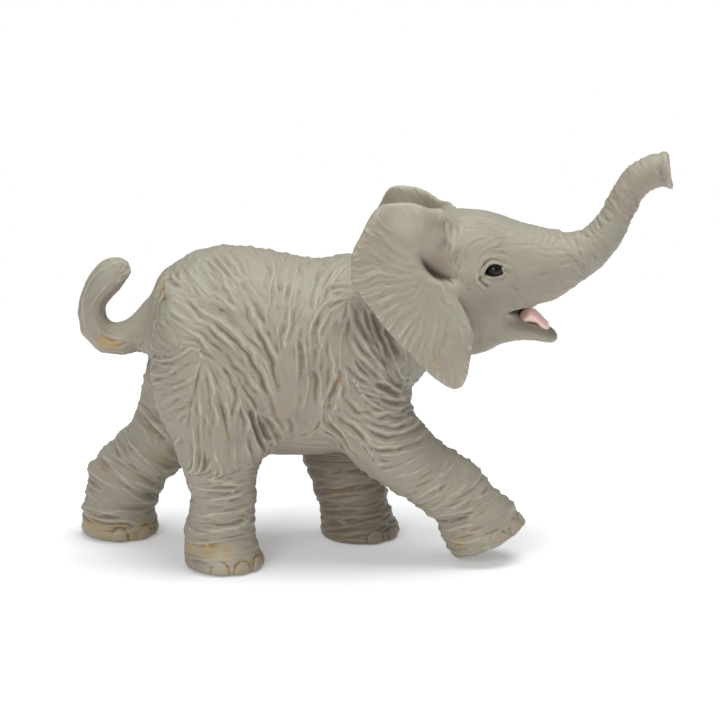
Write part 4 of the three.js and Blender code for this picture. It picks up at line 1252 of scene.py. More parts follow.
rings = blank()
ringed = np.flatnonzero(np.isin(part, index_of("head", "trunk")) & (points[:, 0] > RING_TOP_START[0]))
spots = points[ringed]
line = np.array(RING_LINE)
line_steps = np.linalg.norm(np.diff(line, axis=0), axis=1)
line_start = np.concatenate([[0.0], np.cumsum(line_steps)])
nearest = np.full(len(ringed), 99.0)
along = np.zeros(len(ringed))
for k, length in enumerate(line_steps):
    way = (line[k + 1] - line[k]) / length
    offset = spots[:, [0, 2]] - line[k]
    t = np.clip(offset @ way, 0.0, length)
    apart = np.linalg.norm(offset - t[:, None] * way, axis=1)
    closer = apart < nearest
    nearest = np.where(closer, apart, nearest)
    along = np.where(closer, line_start[k] + t, along)
along += RING_BEND * Lumps(2.6, 61)(spots)
turns = 2 * math.pi * along / RING_APART
wave = np.cos(turns) + 0.4 * np.cos(turns / FINE_RINGS)
strength = np.clip(0.65 + 0.5 * Lumps(3.0, 62)(spots), 0.1, 1.4)
on_top = np.clip(normals[ringed, 2] * 2.4 - 1.3, 0.0, 1.0)
on_back = np.clip(0.3 + normals[ringed] @ RING_FACING, 0.15, 1.0)
from_top = fade(spots[:, 0], RING_TOP_START)
from_side = fade(spots[:, 0], RING_SIDE_START)
strength *= np.maximum(0.9 * from_top * on_top, from_side * on_back)
strength *= 1.0 - fade(spots[:, 0], RING_END)
rings[ringed] = RING_DEPTH * wave * strength
sharp = wrinkles + folds.height()
height = 0.7 * sharp + 0.3 * around.blur(sharp, 1) + ray_height + rings
points += height[:, None] * normals
print("wrinkles from", round(float(height.min()), 2), "to", round(float(height.max()), 2), "mm")

# %% [markdown]
# ## Toenails
# Each foot has a row of broad, rounded nails round its front and sides, moulded in relief: a
# shield that stands a little proud, with a groove round its top. They could be pieces of their own,
# but on the real figure they come out of the same mould, so they are raised from the skin. They are
# placed by their angle round the foot, in the plane of its sole. The raised foot's sole is tilted.

# %% Toenails
FEET = (
    # part, middle of the sole in mm, tilt in degrees, half length and half width, nail angles
    ("right_hind_leg", (-26.4, -11.2, 0.0), 0.0, (7.1, 6.8), (-96, -61, -27, 8, 42, 77)),
    ("left_hind_leg", (-45.6, 8.0, 0.0), 0.0, (7.0, 6.8), (-88, -44, -6, 32, 70)),
    ("left_front_leg", (-2.6, 6.5, 0.0), 0.0, (7.2, 6.8), (-66, -27, 12, 50, 88)),
    ("right_front_leg", (20.4, -6.8, 3.3), 26.7, (7.2, 6.1), (-112, -73, -36, 0, 36, 73)),
)
NAIL_HALF_WIDTH = 1.6
NAIL_HEIGHT = 2.5
NAIL_PROUD = 0.15
NAIL_GROOVE = 0.16
NAIL_GROOVE_AT = 1.06
NAIL_GROOVE_WIDTH = 0.28
NAIL_HALO_AT = 1.22
NAIL_HALO_WIDTH = 0.55
nail, nail_edge, nail_halo = blank(), blank(), blank()
foot_height = np.full(len(points), 99.0, np.float32)
for name, middle, tilt, (half_length, half_width), angles in FEET:
    tilt = math.radians(tilt)
    forward = np.array([math.cos(tilt), 0.0, math.sin(tilt)])
    upward = np.array([-math.sin(tilt), 0.0, math.cos(tilt)])
    on_foot = np.flatnonzero(part == SKIN_PARTS.index(name))
    offset = points[on_foot] - np.array(middle)
    ahead, aside, above = offset @ forward, offset[:, 1], offset @ upward
    foot_height[on_foot] = above
    around_foot = np.arctan2(aside / half_width, ahead / half_length)
    rise = np.maximum(above - 0.25, 0.0) / NAIL_HEIGHT
    low_enough = np.clip((NAIL_HEIGHT * 1.6 - above) / 0.8, 0, 1)
    off_sole = np.clip((above - 0.1) / 0.5, 0, 1)
    for angle in angles:
        turned = around_foot - math.radians(angle)
        turned = (turned + math.pi) % (2 * math.pi) - math.pi
        across = turned * (half_length + half_width) / 2 / NAIL_HALF_WIDTH
        out = np.sqrt(across**2 + rise**2.6)
        shield = np.sqrt(np.clip(1.0 - out**2.2, 0.0, 1.0)) * low_enough
        from_groove = (out - NAIL_GROOVE_AT) * NAIL_HALF_WIDTH / NAIL_GROOVE_WIDTH
        from_halo = (out - NAIL_HALO_AT) * NAIL_HALF_WIDTH / NAIL_HALO_WIDTH
        for mask, values in (
            (nail, shield),
            (nail_edge, np.exp(-(from_groove**2)) * low_enough * off_sole),
            (nail_halo, np.exp(-(from_halo**2)) * low_enough),
        ):
            mask[on_foot] = np.maximum(mask[on_foot], values)
points -= (wrinkles * np.clip(nail * 1.2, 0, 0.55))[:, None] * normals
broken_edge = np.clip(0.75 + 0.6 * uneven(points), 0.15, 1.3)
nail_height = NAIL_PROUD * nail - NAIL_GROOVE * nail_edge * broken_edge * (nail < 0.4)
points += nail_height[:, None] * normals
print("points on nails:", int((nail > 0.2).sum()))

# %% [markdown]
# ## Trunk tip
# The trunk ends in a rounded lip with two nostrils in a hollow face. A boolean could cut the
# nostrils, but with a hard rim. Pressed in softly, they keep the round edge of moulded vinyl.

# %% Lip and nostrils
TIP_MIDDLE = np.array([51.8, 0.0, 68.9])
TIP_WAY = np.array([0.985, 0.0, 0.17])
TIP_UP = np.cross(TIP_WAY, (0.0, -1.0, 0.0))
TIP_RADIUS = 3.2
TIP_HOLLOW = 0.5
LIP_PROUD = 0.17
LIP_BACK = 1.9
LIP_GROOVE = 0.22
NOSTRIL_APART = 1.35
NOSTRIL_REACH = 1.275
NOSTRIL_DEPTH = 2.4

on_trunk = np.flatnonzero(part == SKIN_PARTS.index("trunk"))
back = (TIP_MIDDLE - points[on_trunk]) @ TIP_WAY
side_on = np.clip((1.0 - np.abs(normals[on_trunk] @ TIP_WAY)) * 1.6, 0, 1)
lip = LIP_PROUD * np.exp(-(((back - 0.6) / 0.7) ** 2))
lip -= LIP_GROOVE * np.exp(-(((back - LIP_BACK) / 0.55) ** 2))
points[on_trunk] += ((lip * side_on)[:, None] * normals[on_trunk]).astype(np.float32)
tip_offset = points[on_trunk] - TIP_MIDDLE
up = tip_offset @ TIP_UP
facing_out = np.clip((normals[on_trunk] @ TIP_WAY - 0.35) / 0.3, 0, 1)
pit = np.zeros(len(on_trunk))
for side in (-1.0, 1.0):
    aside = tip_offset[:, 1] - side * NOSTRIL_APART
    pit = np.maximum(pit, soft(np.sqrt(aside**2 + (0.8 * up) ** 2), NOSTRIL_REACH))
face = soft(np.sqrt(tip_offset[:, 1] ** 2 + up**2), TIP_RADIUS)
sunk = (pit * NOSTRIL_DEPTH + TIP_HOLLOW * face) * facing_out
points[on_trunk] -= (sunk[:, None] * TIP_WAY).astype(np.float32)
nostril = blank()
nostril[on_trunk] = pit * facing_out
print("deepest nostril point:", round(float(nostril.max() * NOSTRIL_DEPTH), 2), "mm")

# %% [markdown]
# ## Eyelids
# The eye is a ball set in the head, and only an almond of it shows. The almond could be painted on
# the ball, but real lids stand over it and shade it. So inside the almond the skin is pressed back
# behind the ball. Round it the skin rises in two thin lids, with a groove behind them.

# %% Eyelids
EYE_OUTLINE = (
    (21.9, 15.0), (22.1, 15.8), (22.7, 16.5), (23.5, 16.75), (24.3, 16.45), (24.9, 15.8),
    (25.1, 15.3), (24.6, 14.95), (23.7, 14.7), (22.7, 14.75),
)
OUTLINE_POINTS = 24
EYE_WIDENING = 0.08
LID_AT = 0.16
LID_PROUD = 0.13
LID_WIDTH = 0.18
LID_GROOVE_AT = 0.85
LID_GROOVE_WIDTH = 0.24
LID_GROOVE = 0.12
OPENING_DEPTH = 1.5

lid, eye_hole = blank(), blank()
outline_places, _ = throw(EYE_OUTLINE, range(len(SKIN_PARTS)))
eye_outline = outline_places[:: max(1, len(outline_places) // OUTLINE_POINTS)][:, [0, 2]]
for side, centre in zip((-1.0, 1.0), eye_centres):
    close = np.flatnonzero(np.linalg.norm(points - centre, axis=1) < EYE_REFINE_REACH)
    close = close[points[close, 1] * side > 4.0]
    apart = outline_distance(points[close][:, [0, 2]].astype(float), eye_outline) - EYE_WIDENING
    opening = np.clip(-apart / 0.16, 0.0, 1.0)
    rim = np.exp(-(((apart - LID_AT) / LID_WIDTH) ** 2)) * (apart > -0.15)
    above_eye = (points[close, 2] - centre[2]) / EYE_RADIUS
    groove = np.exp(-(((apart - LID_GROOVE_AT) / LID_GROOVE_WIDTH) ** 2))
    move = LID_PROUD * rim - LID_GROOVE * groove * np.clip(0.4 + above_eye, 0.1, 1.0)
    points[close] += (move[:, None] * normals[close]).astype(np.float32)
    points[close, 1] -= (side * OPENING_DEPTH * opening).astype(np.float32)
    lid[close] = rim
    eye_hole[close] = opening
points[:, 2] = np.maximum(points[:, 2], 0.0)
write_points(skin, points)
print("points in the eye openings:", int((eye_hole > 0.5).sum()))

# %% [markdown]
# ## Where the paint gathers, and where shade and light are painted
# A brown wash runs into hollows and a dry brush leaves ridges pale. It could be painted on an
# image, but the shape already says where paint gathers: how far each point lies below or above the
# average of its neighbourhood tells hollow from ridge, for narrow and for broader hollows. The
# narrow measure follows the wash and the dry brush. The broad one adds painted shade to broad
# hollows, such as where a leg meets the body, and a painted highlight to broad bulges.
# The front legs' sides that face each other, the belly and the patches listed first get painted
# shade, as shade falls under and between things. Other patches get painted light, with a paler
# band of paint on the near hind foot, or carry more contrast, or get ochre. The far front leg
# stands in the shade, and more contrast, painted shade in its hollows and a painted highlight on
# its ridges, keeps its rings readable. The deepest pockets get painted shade, nearly black-brown.
# All of these are kept as attributes of the mesh, which the paint reads.

# %% Patches of paint, of painted shade and of painted light
# Painted shade under the ear, at the groin, on the belly, the cheek and the forehead, and at a few other
# spots.
SHADE_PATCHES = (
    # picture place in mm, reach in mm, strength
    ((-0.2, 9.5), 3.4, 0.5), ((2.5, 5.5), 3.8, 0.7), ((5.5, 1.0), 3.6, 0.7),
    ((-17.5, -12.0), 3.4, 0.6), ((5.5, -5.0), 3.6, 0.4), ((-22.5, -14.0), 3.0, 0.4),
    ((-8.5, -3.0), 4.0, 0.35), ((13.2, 17.0), 3.4, 0.5), ((20.0, 2.8), 3.0, 0.4),
    ((22.5, 10.0), 5.0, 0.45), ((27.5, 11.5), 4.0, 0.25), ((-10.5, -10.5), 3.8, 0.4),
    ((-46.6, 10.6), 4.0, 0.35), ((-2.6, 5.2), 4.5, 0.6), ((22.9, 22.0), 4.5, 0.4),
)
# Painted light on the rump, the far ear and other spots, and the paler band of paint on the near hind
# foot.
PALE_AND_LIT_PATCHES = (
    ((-31.7, 13.2), 5.0, 0.45), ((-40.5, -19.4), 5.0, 0.3), ((15.8, -22.9), 5.0, 0.25),
    ((21.1, -30.8), 4.0, 0.3), ((-24.6, -35.5), 4.5, 0.7), ((5.3, 23.8), 4.5, 0.2),
    ((-13.2, -15.0), 3.0, 0.3), ((16.7, -2.6), 3.6, 0.35), ((7.9, 29.6), 4.5, 1.0),
)
# More contrast round the shoulder: painted shade in the hollows, painted highlight on the ridges.
CONTRAST_PATCHES = (
    ((2.0, 5.0), 7.0, 0.6), ((4.0, -6.0), 7.0, 0.5), ((2.0, -14.0), 6.0, 0.4),
)
OCHRE_PATCHES = (
    # bend of the tail and its root
    ((-45.0, 2.7), 2.0, 1.0), ((-43.8, 2.5), 2.0, 1.0), ((-35.0, 12.5), 2.4, 0.35),
    # hind feet and legs
    ((-47.2, -28.9), 2.0, 0.9), ((-45.8, -29.6), 2.0, 0.9), ((-48.4, -28.0), 1.8, 0.9),
    ((-44.0, -30.1), 2.0, 0.8), ((-42.2, -30.6), 1.8, 0.7), ((-30.0, -33.0), 3.0, 0.35),
    ((-26.5, -33.5), 3.0, 0.4), ((-23.5, -34.3), 2.2, 0.5), ((-19.0, -36.0), 1.6, 0.6),
    ((-35.0, -17.0), 2.6, 0.25), ((-45.0, -19.0), 2.4, 0.3),
    # front legs
    ((17.4, -32.2), 2.6, 0.55), ((20.2, -33.4), 2.4, 0.4), ((19.5, -31.0), 1.6, 0.5),
    ((-4.6, -23.7), 1.5, 0.35), ((-2.2, -23.9), 1.2, 0.3), ((-4.2, -28.5), 1.4, 0.3),
    # lower edge of the ear, and two creases of the flank
    ((10.5, 1.0), 2.0, 0.3), ((13.2, -0.6), 1.5, 0.3), ((11.6, -0.6), 1.4, 0.25),
    ((-3.8, -3.8), 1.0, 0.5), ((-23.3, -13.5), 0.9, 0.6),
)

PATCH_LISTS = (SHADE_PATCHES, PALE_AND_LIT_PATCHES, CONTRAST_PATCHES, OCHRE_PATCHES)
print("patches:", [len(patches) for patches in PATCH_LISTS])

# %% Hollows, ridges, painted shade and light, and ochre
FEET_MIDDLE = -15.0
FAR_FORE_LEG_CONTRAST = 0.9
OCHRE_STRENGTH = 1.4
HIND_NAIL_OCHRE = 0.8
FRONT_NAIL_OCHRE = 0.4
FRONT_NAIL_TONE = 0.45
NARROW_ROUNDS = 5
NARROW_DEPTH = 0.07
BROAD_ROUNDS = 34
BROAD_DEPTH = 0.24
EAR_HOLLOWS = 0.6
LID_DARK = 0.7
POCKET_DARK = 1.1
FOLD_DARK = 0.6
FOLD_DARK_DEPTH = 0.7
PART_BLUR = 12
BELLY_TOP = 29.0
BELLY_FADE = 11.0
BELLY_SHADE = 0.35
normals = read_normals(skin)
skin_tree = build_tree()
# The narrow measure follows the wash and the dry brush. The broad one gives painted shade in broad
# hollows, such as where a leg meets the body, and a painted highlight on broad bulges.
narrow = ((around.blur(points, NARROW_ROUNDS) - points) * normals).sum(1)
broad = ((around.blur(points, BROAD_ROUNDS) - points) * normals).sum(1)
hollow = 0.5 * np.clip(narrow / NARROW_DEPTH, -1, 1) + 0.5 * np.clip(broad / BROAD_DEPTH, -1, 1)
# More contrast on the far front leg, which stands in the shade, and round the shoulder: painted shade in
# the hollows, painted highlight on the ridges.
contrast = blank()
contrast[part == SKIN_PARTS.index("left_front_leg")] = FAR_FORE_LEG_CONTRAST
contrast = dab(around.blur(contrast, PART_BLUR), CONTRAST_PATCHES)
hollow = np.clip(hollow * (1.0 + contrast) + LID_DARK * lid, -1, 1)
on_ears = np.isin(part, index_of("right_ear", "left_ear"))
hollow[on_ears & (hollow > 0)] *= EAR_HOLLOWS
# Painted shade, nearly black-brown, in the ear's pocket, the mouth's corners, the nostrils, the eye
# openings and the deepest folds.
pocket_dark = np.clip(pocket.depth / EAR_POCKET_DEPTH * POCKET_DARK, 0, 1)
fold_dark = FOLD_DARK * np.clip(folds.depth / FOLD_DARK_DEPTH, 0, 1) ** 1.6
deep = np.maximum.reduce([pocket_dark, mouth_corner, nostril, eye_hole, fold_dark])
streaked = 0.8 + 0.35 * strands[1]
ochre = np.clip(OCHRE_STRENGTH * dab(blank(), OCHRE_PATCHES) * streaked, 0, 1) * (1.0 - 0.7 * nail)
hind = points[:, 0] < FEET_MIDDLE
nail_ochre = np.where(hind, HIND_NAIL_OCHRE, FRONT_NAIL_OCHRE)
ochre = np.maximum(ochre, nail_ochre * nail_edge * broken_edge * (foot_height < 5.0))
halo_ochre = np.clip(1.1 * uneven(points + 7.0) + 0.25, 0.0, 1.0) * nail_ochre * (1.0 - nail)
ochre = np.maximum(ochre, halo_ochre * nail_halo)
# Painted shade on the front legs' sides that face each other, under the belly and at the shade patches;
# painted light at the lit patches, with the near hind foot's paler paint.
inner = blank()
for name, side in (("right_front_leg", -1.0), ("left_front_leg", 1.0)):
    on_leg = part == SKIN_PARTS.index(name)
    inner[on_leg] = np.clip(-side * normals[on_leg, 1] * 1.6, 0, 1)
belly = part == SKIN_PARTS.index("torso")
inner[belly] = BELLY_SHADE * np.clip((BELLY_TOP - points[belly, 2]) / BELLY_FADE, 0, 1)
inner = dab(around.blur(inner, PART_BLUR), SHADE_PATCHES) - dab(blank(), PALE_AND_LIT_PATCHES)
nail_tone = nail * np.where(hind, 1.0, FRONT_NAIL_TONE)
PAINT_MASKS = {"inner": inner, "hollow": hollow, "deep": deep, "ochre": ochre, "nail": nail_tone}
for name, values in PAINT_MASKS.items():
    mask = skin.data.attributes.new(name, "FLOAT", "POINT")
    mask.data.foreach_set("value", np.asarray(values, np.float32))
print("hollows:", round(float((hollow > 0.3).mean()), 2), "of the skin")

# %% [markdown]
# ## Parts of the skin
# Each part of the skin is named for the solid that it stands for. The lump is cut where the solids
# meet: every face goes to the part whose solid is nearest, loose islands go to their neighbours,
# and each part's open rim is drawn together to a point inside the body, so that every part is
# closed. The shading of the whole lump is kept, so no cut shows.

# %% Cut the skin into parts
ISLAND_ROUNDS = 12
corner_points = read(skin.data.loops, "vertex_index", 1, np.int32)
face_first = read(skin.data.polygons, "loop_start", 1, np.int32)
shares = np.zeros((len(points), len(SKIN_PARTS)), np.float32)
shares[np.arange(len(points)), part] = 1.0
shares = around.blur(shares, ISLAND_ROUNDS)
face_part = np.add.reduceat(shares[corner_points], face_first, axis=0).argmax(1)
normal_attribute = skin.data.attributes.new("skin_normal", "FLOAT_VECTOR", "POINT")
normal_attribute.data.foreach_set("vector", read_normals(skin).ravel())
for name in SKIN_PARTS:
    skin.data.materials.append(bpy.data.materials.new(name + "_mark"))
skin.data.polygons.foreach_set("material_index", face_part.astype(np.int32))
select_only(skin)
bpy.ops.object.mode_set(mode="EDIT")
bpy.ops.mesh.separate(type="MATERIAL")
bpy.ops.object.mode_set(mode="OBJECT")
skin_pieces = {}
for piece in list(bpy.context.selected_objects):
    name = piece.data.materials[piece.data.polygons[0].material_index].name[: -len("_mark")]
    piece.data.materials.clear()
    skin_pieces[name] = piece
for material in [m for m in bpy.data.materials if m.name.endswith("_mark")]:
    bpy.data.materials.remove(material)
print("parts:", {name: len(piece.data.polygons) for name, piece in skin_pieces.items()})


# %% Close each part
def close_rims(piece):
    """Extrudes every open rim and draws each together at its middle, which closes the part."""
    select_only(piece)
    faces_before = len(piece.data.polygons)
    bpy.ops.object.mode_set(mode="EDIT")
    bpy.ops.mesh.select_mode(type="EDGE")
    bpy.ops.mesh.select_all(action="DESELECT")
    bpy.ops.mesh.select_non_manifold(extend=False, use_wire=False, use_multi_face=False,
                                     use_non_contiguous=False, use_verts=False)
    bpy.ops.mesh.extrude_edges_move()
    bpy.ops.mesh.merge(type="COLLAPSE")
    bpy.ops.object.mode_set(mode="OBJECT")
    return faces_before


def keep_shading(piece, faces_before):
    """Gives the skin faces the whole lump's normals, and the closing faces their own."""
    mesh = piece.data
    mesh.polygons.foreach_set("use_smooth", np.ones(len(mesh.polygons), bool))
    kept = read(mesh.attributes["skin_normal"].data, "vector", 3)
    corner_normals = kept[read(mesh.loops, "vertex_index", 1, np.int32)]
    total = read(mesh.polygons, "loop_total", 1, np.int32)
    flat = read(mesh.polygons, "normal", 3)
    closing = np.repeat(np.arange(len(mesh.polygons)) >= faces_before, total)
    corner_normals[closing] = np.repeat(flat, total, axis=0)[closing]
    mesh.attributes.remove(mesh.attributes["skin_normal"])
    mesh.normals_split_custom_set(corner_normals)


for name, piece in skin_pieces.items():
    piece.name = name + "_skin"
    piece.data.name = piece.name
    keep_shading(piece, close_rims(piece))
    triangles = sum(len(face.vertices) - 2 for face in piece.data.polygons)
    print(piece.name, triangles, "triangles")

# %% [markdown]
# ## Paint
# Skin and tongue share one finish: a base colour that drifts between a cool and a warm tone,
# darker in hollows and paler on ridges, with a faint grain. Each material could have its own nodes
# for it, but one node group is built once and placed in both with other colours.

# %% Helpers for paint


def linear(red, green, blue):
    """A colour as a screen shows it, 0 to 255, to the light values that nodes use."""
    shown = np.array((red, green, blue)) / 255.0
    light = np.where(shown <= 0.04045, shown / 12.92, ((shown + 0.055) / 1.055) ** 2.4)
    return (*light.tolist(), 1.0)


def mixed(tree, factor, first, second):
    """A colour mix; returns its output."""
    inputs = {"Factor": factor, "A": first, "B": second}
    return add_node(tree, "Mix", inputs, data_type="RGBA", blend_type="MIX").outputs["Result"]


def covered(tree, colour, mask, ends, tone):
    """The colour with a tone laid over it as far as the mask's range says."""
    return mixed(tree, ranged(tree, mask, *ends), colour, tone)


def noise_of(tree, place, size, detail):
    """A noise whose lumps are about size millimetres."""
    inputs = {"Vector": place, "Scale": 1.0 / (size * MM), "Detail": detail}
    return add_node(tree, "TexNoise", inputs).outputs["Fac"]


def mask_of(tree, name):
    """One of the mesh's attributes as a mask."""
    return add_node(tree, "Attribute", attribute_name=name).outputs["Fac"]


print("half of a screen's scale is", round(linear(128, 128, 128)[0], 3), "as light")

# %% Shared paint group
PAINT_INPUTS = (
    ("Hollow", "NodeSocketFloat"), ("Base", "NodeSocketColor"), ("Cool Tone", "NodeSocketColor"),
    ("Ridge Tone", "NodeSocketColor"), ("Wash Tone", "NodeSocketColor"),
    ("Drift Size", "NodeSocketFloat"),
)
PAINT_OUTPUTS = (
    ("Color", "NodeSocketColor"), ("Roughness", "NodeSocketFloat"), ("Grain", "NodeSocketFloat"),
)
# each range: from, to, and the values there
DRIFT_RANGE = (0.36, 0.66, 0.0, 1.0)
# Ridges and broad bulges turn paler, as dry brush and painted highlight; hollows turn darker, as wash
# and painted shade.
RIDGE_RANGE = (-0.1, -0.65, 0.0, 0.8)
WASH_AND_SHADE_RANGE = (0.35, 1.3, 0.0, 0.75)
ROUGHNESS_RANGE = (-0.5, 1.0, 0.50, 0.66)
SPECKLE_SIZE = 0.45
SPECKLE_SHARE = 0.5
GRAIN_SIZE = 0.28

paint_group = bpy.data.node_groups.new("washed_paint", "ShaderNodeTree")
for direction, sockets in (("INPUT", PAINT_INPUTS), ("OUTPUT", PAINT_OUTPUTS)):
    for socket_name, kind in sockets:
        paint_group.interface.new_socket(socket_name, in_out=direction, socket_type=kind)
given = paint_group.nodes.new("NodeGroupInput").outputs
result = paint_group.nodes.new("NodeGroupOutput").inputs
place = add_node(paint_group, "TexCoord").outputs["Object"]
drift_scale = math_of(paint_group, "DIVIDE", 1.0, given["Drift Size"])
drift_inputs = {"Vector": place, "Scale": drift_scale, "Detail": 4.0}
drift = add_node(paint_group, "TexNoise", drift_inputs).outputs["Fac"]
speckle = noise_of(paint_group, place, SPECKLE_SIZE, 4.0)
broken_inputs = {0: speckle, 1: SPECKLE_SHARE, 2: given["Hollow"]}
broken = add_node(paint_group, "Math", broken_inputs, operation="MULTIPLY_ADD").outputs[0]
tone = covered(paint_group, given["Base"], drift, DRIFT_RANGE, given["Cool Tone"])
tone = covered(paint_group, tone, broken, RIDGE_RANGE, given["Ridge Tone"])
tone = covered(paint_group, tone, broken, WASH_AND_SHADE_RANGE, given["Wash Tone"])
paint_group.links.new(tone, result["Color"])
paint_group.links.new(ranged(paint_group, broken, *ROUGHNESS_RANGE), result["Roughness"])
paint_group.links.new(noise_of(paint_group, place, GRAIN_SIZE, 2.0), result["Grain"])
print("paint group sockets:", len(paint_group.interface.items_tree))

# %% [markdown]
# ## Skin paint
# The skin is a grey-beige sprayed over the body. Where it faces up it is painted greener and
# paler, a painted highlight of the light from above, and below it stays warmer. The wash and
# painted shade darken the hollows; painted shade also darkens the front legs' facing sides, the
# belly and some patches, and painted light brightens others. Ochre is rubbed on the feet and the
# tail's bend, the nails are a shade pinker, and the deepest pockets get painted shade, nearly
# black-brown. Each tone is laid over the ones before, as a painter would, so any of them can be
# changed alone.

# %% Skin material
SKIN_BASE = linear(162, 150, 134)
SKIN_COOL = linear(163, 157, 140)
SKIN_RIDGE = linear(191, 184, 165)
# the brown wash, which also paints shade
SKIN_WASH_AND_SHADE = linear(110, 96, 81)
# painted shade for the deepest pockets
SKIN_DEEP_SHADE = linear(62, 50, 40)
# painted light, and the paler paint of the near hind foot
SKIN_PALE_AND_LIT = linear(198, 190, 170)
# a painted highlight for the skin that faces up
SKIN_TOP_HIGHLIGHT = linear(162, 160, 143)
SKIN_OCHRE = linear(182, 156, 106)
SKIN_OCHRE_WASH = linear(138, 106, 58)
NAIL_TONE = linear(186, 166, 144)
BLACK = (0.0, 0.0, 0.0, 1.0)
SKIN_DRIFT = 7.0
SKIN_GRAIN = 0.06

skin_paint, tree = new_material("skin_vinyl")
place = add_node(tree, "TexCoord").outputs["Object"]
geometry_normal = add_node(tree, "NewGeometry").outputs["Normal"]
upward = add_node(tree, "SeparateXYZ", {0: geometry_normal}).outputs["Z"]
hollow_mask, shade_and_light_mask = mask_of(tree, "hollow"), mask_of(tree, "inner")
paint_inputs = {
    "Hollow": hollow_mask, "Base": SKIN_BASE, "Cool Tone": SKIN_COOL, "Ridge Tone": SKIN_RIDGE,
    "Wash Tone": SKIN_WASH_AND_SHADE, "Drift Size": SKIN_DRIFT * MM,
}
paint = add_node(tree, "Group", paint_inputs, node_tree=paint_group).outputs
stray_ochre = ranged(tree, noise_of(tree, place, 7.0, 3.0), 0.52, 0.68)
stray_ochre = covered(tree, BLACK, hollow_mask, (0.0, 0.6, 0.0, 0.3), stray_ochre)
ochre_tone = covered(tree, SKIN_OCHRE, hollow_mask, (-0.2, 0.7), SKIN_OCHRE_WASH)
# Painted highlight: where the skin faces up it turns greener and paler.
colour = covered(tree, paint["Color"], upward, (0.15, 0.95, 0.0, 0.55), SKIN_TOP_HIGHLIGHT)
# The wash, with painted shade in the broad hollows, darkens the hollows once more.
colour = covered(tree, colour, hollow_mask, (0.2, 1.0, 0.0, 0.25), SKIN_WASH_AND_SHADE)
# Painted shade on the front legs' facing sides, the belly and the shade patches.
colour = covered(tree, colour, shade_and_light_mask, (0.0, 1.0, 0.0, 0.6), SKIN_WASH_AND_SHADE)
# Painted light at the lit patches, and the near hind foot's paler paint.
colour = covered(tree, colour, shade_and_light_mask, (0.0, -1.0, 0.0, 0.6), SKIN_PALE_AND_LIT)
colour = mixed(tree, stray_ochre, colour, SKIN_OCHRE_WASH)
colour = covered(tree, colour, mask_of(tree, "nail"), (0.2, 0.7, 0.0, 0.38), NAIL_TONE)
colour = covered(tree, colour, mask_of(tree, "ochre"), (0.1, 0.9, 0.0, 0.85), ochre_tone)
# Painted shade, nearly black-brown, in the deepest pockets.
colour = covered(tree, colour, mask_of(tree, "deep"), (0.25, 1.0, 0.0, 0.95), SKIN_DEEP_SHADE)
grain_inputs = {"Strength": 0.35, "Distance": SKIN_GRAIN * MM, "Height": paint["Grain"]}
grain = add_node(tree, "Bump", grain_inputs).outputs[0]
skin_shader = add_node(tree, "BsdfPrincipled", {
    "Base Color": colour, "Roughness": paint["Roughness"], "Specular IOR Level": 0.42,
    "Normal": grain,
})
add_node(tree, "OutputMaterial", {"Surface": skin_shader.outputs[0]})
for node, piece in skin_pieces.items():
    piece.data.materials.append(skin_paint)
    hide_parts(node)
    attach(piece, "root")
print("skin paint nodes:", len(tree.nodes))

# %% [markdown]
# ## Eyes
# Each eye is a ball of black gloss paint. Under the gloss a brown ring is only just there. A
# painted white dot would be right from one side only, so the gloss itself has to catch the lamp.

# %% Eyes
EYE_PUPIL = 0.62
EYE_RING = 1.15
EYE_BLACK = linear(14, 14, 16)
IRIS_DARK = linear(20, 16, 14)
IRIS_LIGHT = linear(34, 26, 21)
CORNEA_PROUD = 0.12
CORNEA_REACH = 1.2

eye_paint, tree = new_material("eye_gloss")
place = add_node(tree, "TexCoord").outputs["Object"]
pupil = tuple(to_scene((eye_centres[0][0], 0.0, eye_centres[0][2])))
offset = add_node(tree, "VectorMath", {0: place, 1: pupil}, operation="SUBTRACT").outputs[0]
offset = add_node(tree, "VectorMath", {0: offset, 1: (1.0, 0.0, 1.0)}, operation="MULTIPLY").outputs[0]
apart = add_node(tree, "VectorMath", {0: offset}, operation="LENGTH").outputs["Value"]
ring_in = ranged(tree, apart, EYE_PUPIL * MM, (EYE_PUPIL + 0.15) * MM)
ring_out = ranged(tree, apart, EYE_RING * MM, (EYE_RING + 0.2) * MM, 1.0, 0.0)
ring = math_of(tree, "MULTIPLY", ring_in, ring_out)
iris = mixed(tree, noise_of(tree, place, 0.12, 2.0), IRIS_DARK, IRIS_LIGHT)
eye_shader = add_node(tree, "BsdfPrincipled", {
    "Base Color": mixed(tree, ring, EYE_BLACK, iris), "Roughness": 0.1,
    "Specular IOR Level": 0.2, "Coat Weight": 0.25, "Coat Roughness": 0.03,
})
add_node(tree, "OutputMaterial", {"Surface": eye_shader.outputs[0]})
for node, centre, side in zip(EYES, eye_centres, (-1.0, 1.0)):
    select_only()
    bpy.ops.mesh.primitive_uv_sphere_add(
        segments=48, ring_count=32, radius=EYE_RADIUS * MM,
        rotation=(math.pi / 2, 0.0, 0.0), location=to_scene(centre),
    )
    eye = bpy.context.object
    eye.name = node + "_ball"
    bpy.ops.object.transform_apply(location=True, rotation=True, scale=True)
    ball = read_points(eye)
    off_axis = np.linalg.norm((ball - centre)[:, [0, 2]], axis=1)
    front = (ball[:, 1] - centre[1]) * side > 0
    ball[:, 1] += side * CORNEA_PROUD * soft(off_axis, CORNEA_REACH) * front
    write_points(eye, ball)
    bpy.ops.object.shade_smooth()
    eye.data.materials.append(eye_paint)
    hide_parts(node)
    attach(eye, "root")
    print(eye.name, "at", centre.round(2))
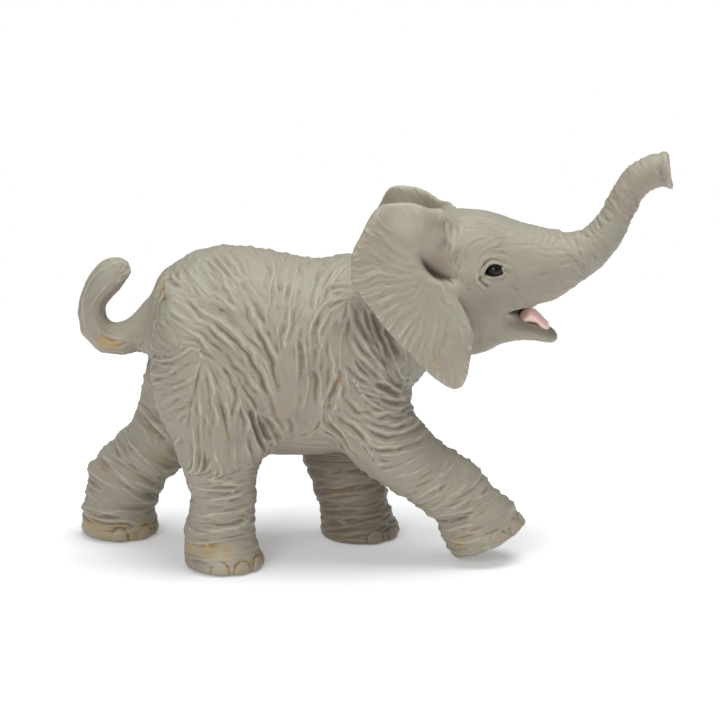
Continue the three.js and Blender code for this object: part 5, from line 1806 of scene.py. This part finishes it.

# %% [markdown]
# ## Tongue
# The tongue is a soft pink pad that lies on the lower jaw. It starts as a copy of its solid,
# remeshed fine, then gets its arch, a groove down its middle and small lumps. A fresh sphere could
# be pressed flat instead, but the copy already fits the jaw. It lies in the mouth's shade, so its
# pink is painted pale and a faint glow is added: painted light.

# %% Tongue
TONGUE_VOXEL = 0.16
TONGUE_GROOVE = 0.22
TONGUE_GROOVE_WIDTH = 0.35
TONGUE_LUMPS = 0.02
TONGUE_LIFTS = (
    # place along the figure and lift, in mm
    (24.0, -0.9), (25.4, -0.7), (26.2, -0.2), (27.3, 0.4), (28.2, 0.1), (29.0, -0.45),
    (30.0, -0.75), (31.0, -0.6),
)
# painted light: a glow that brightens the tongue in the mouth's shade
TONGUE_PAINTED_LIGHT = linear(236, 190, 180)

tongue = merged_copy("tongue", "tongue_skin")
apply_modifier(tongue, "REMESH", mode="VOXEL", voxel_size=TONGUE_VOXEL * MM, adaptivity=0.0)
tongue_points = read_points(tongue)
tongue_around = Neighbours(read_edges(tongue), len(tongue_points))
tongue_points = tongue_around.blur(tongue_points, 8)
write_points(tongue, tongue_points)
tongue_normals = read_normals(tongue)
on_top = np.clip(tongue_normals[:, 2] * 1.5, 0, 1)
groove = TONGUE_GROOVE * np.exp(-((tongue_points[:, 1] / TONGUE_GROOVE_WIDTH) ** 2))
lump = TONGUE_LUMPS * Lumps(0.9, 31)(tongue_points)
lift = np.interp(tongue_points[:, 0], *zip(*TONGUE_LIFTS))
tongue_points[:, 2] += np.where(lift > 0, lift * on_top, lift).astype(np.float32)
tongue_points += ((lump - groove * on_top)[:, None] * tongue_normals).astype(np.float32)
write_points(tongue, tongue_points)
select_only(tongue)
bpy.ops.object.shade_smooth()
sunk = tongue_around.blur(tongue_points, 5) - tongue_points
tongue_hollow = np.clip((sunk * read_normals(tongue)).sum(1) / 0.05, -1, 1)
mask = tongue.data.attributes.new("hollow", "FLOAT", "POINT")
mask.data.foreach_set("value", tongue_hollow.astype(np.float32))
tongue_paint, tree = new_material("tongue_vinyl")
paint_inputs = {
    "Hollow": mask_of(tree, "hollow"), "Base": linear(248, 212, 203),
    "Cool Tone": linear(250, 220, 212), "Ridge Tone": linear(253, 228, 221),
    "Wash Tone": linear(214, 168, 158), "Drift Size": 2.0 * MM,
}
paint = add_node(tree, "Group", paint_inputs, node_tree=paint_group).outputs
# The pale pink and the glow are painted light.
tongue_shader = add_node(tree, "BsdfPrincipled", {
    "Base Color": paint["Color"], "Roughness": 0.42,
    "Emission Color": TONGUE_PAINTED_LIGHT, "Emission Strength": 0.16,
})
add_node(tree, "OutputMaterial", {"Surface": tongue_shader.outputs[0]})
tongue.data.materials.append(tongue_paint)
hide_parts("tongue")
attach(tongue, "root")
print("tongue:", len(tongue.data.polygons), "faces")

# %% Finish with nothing selected
select_only()
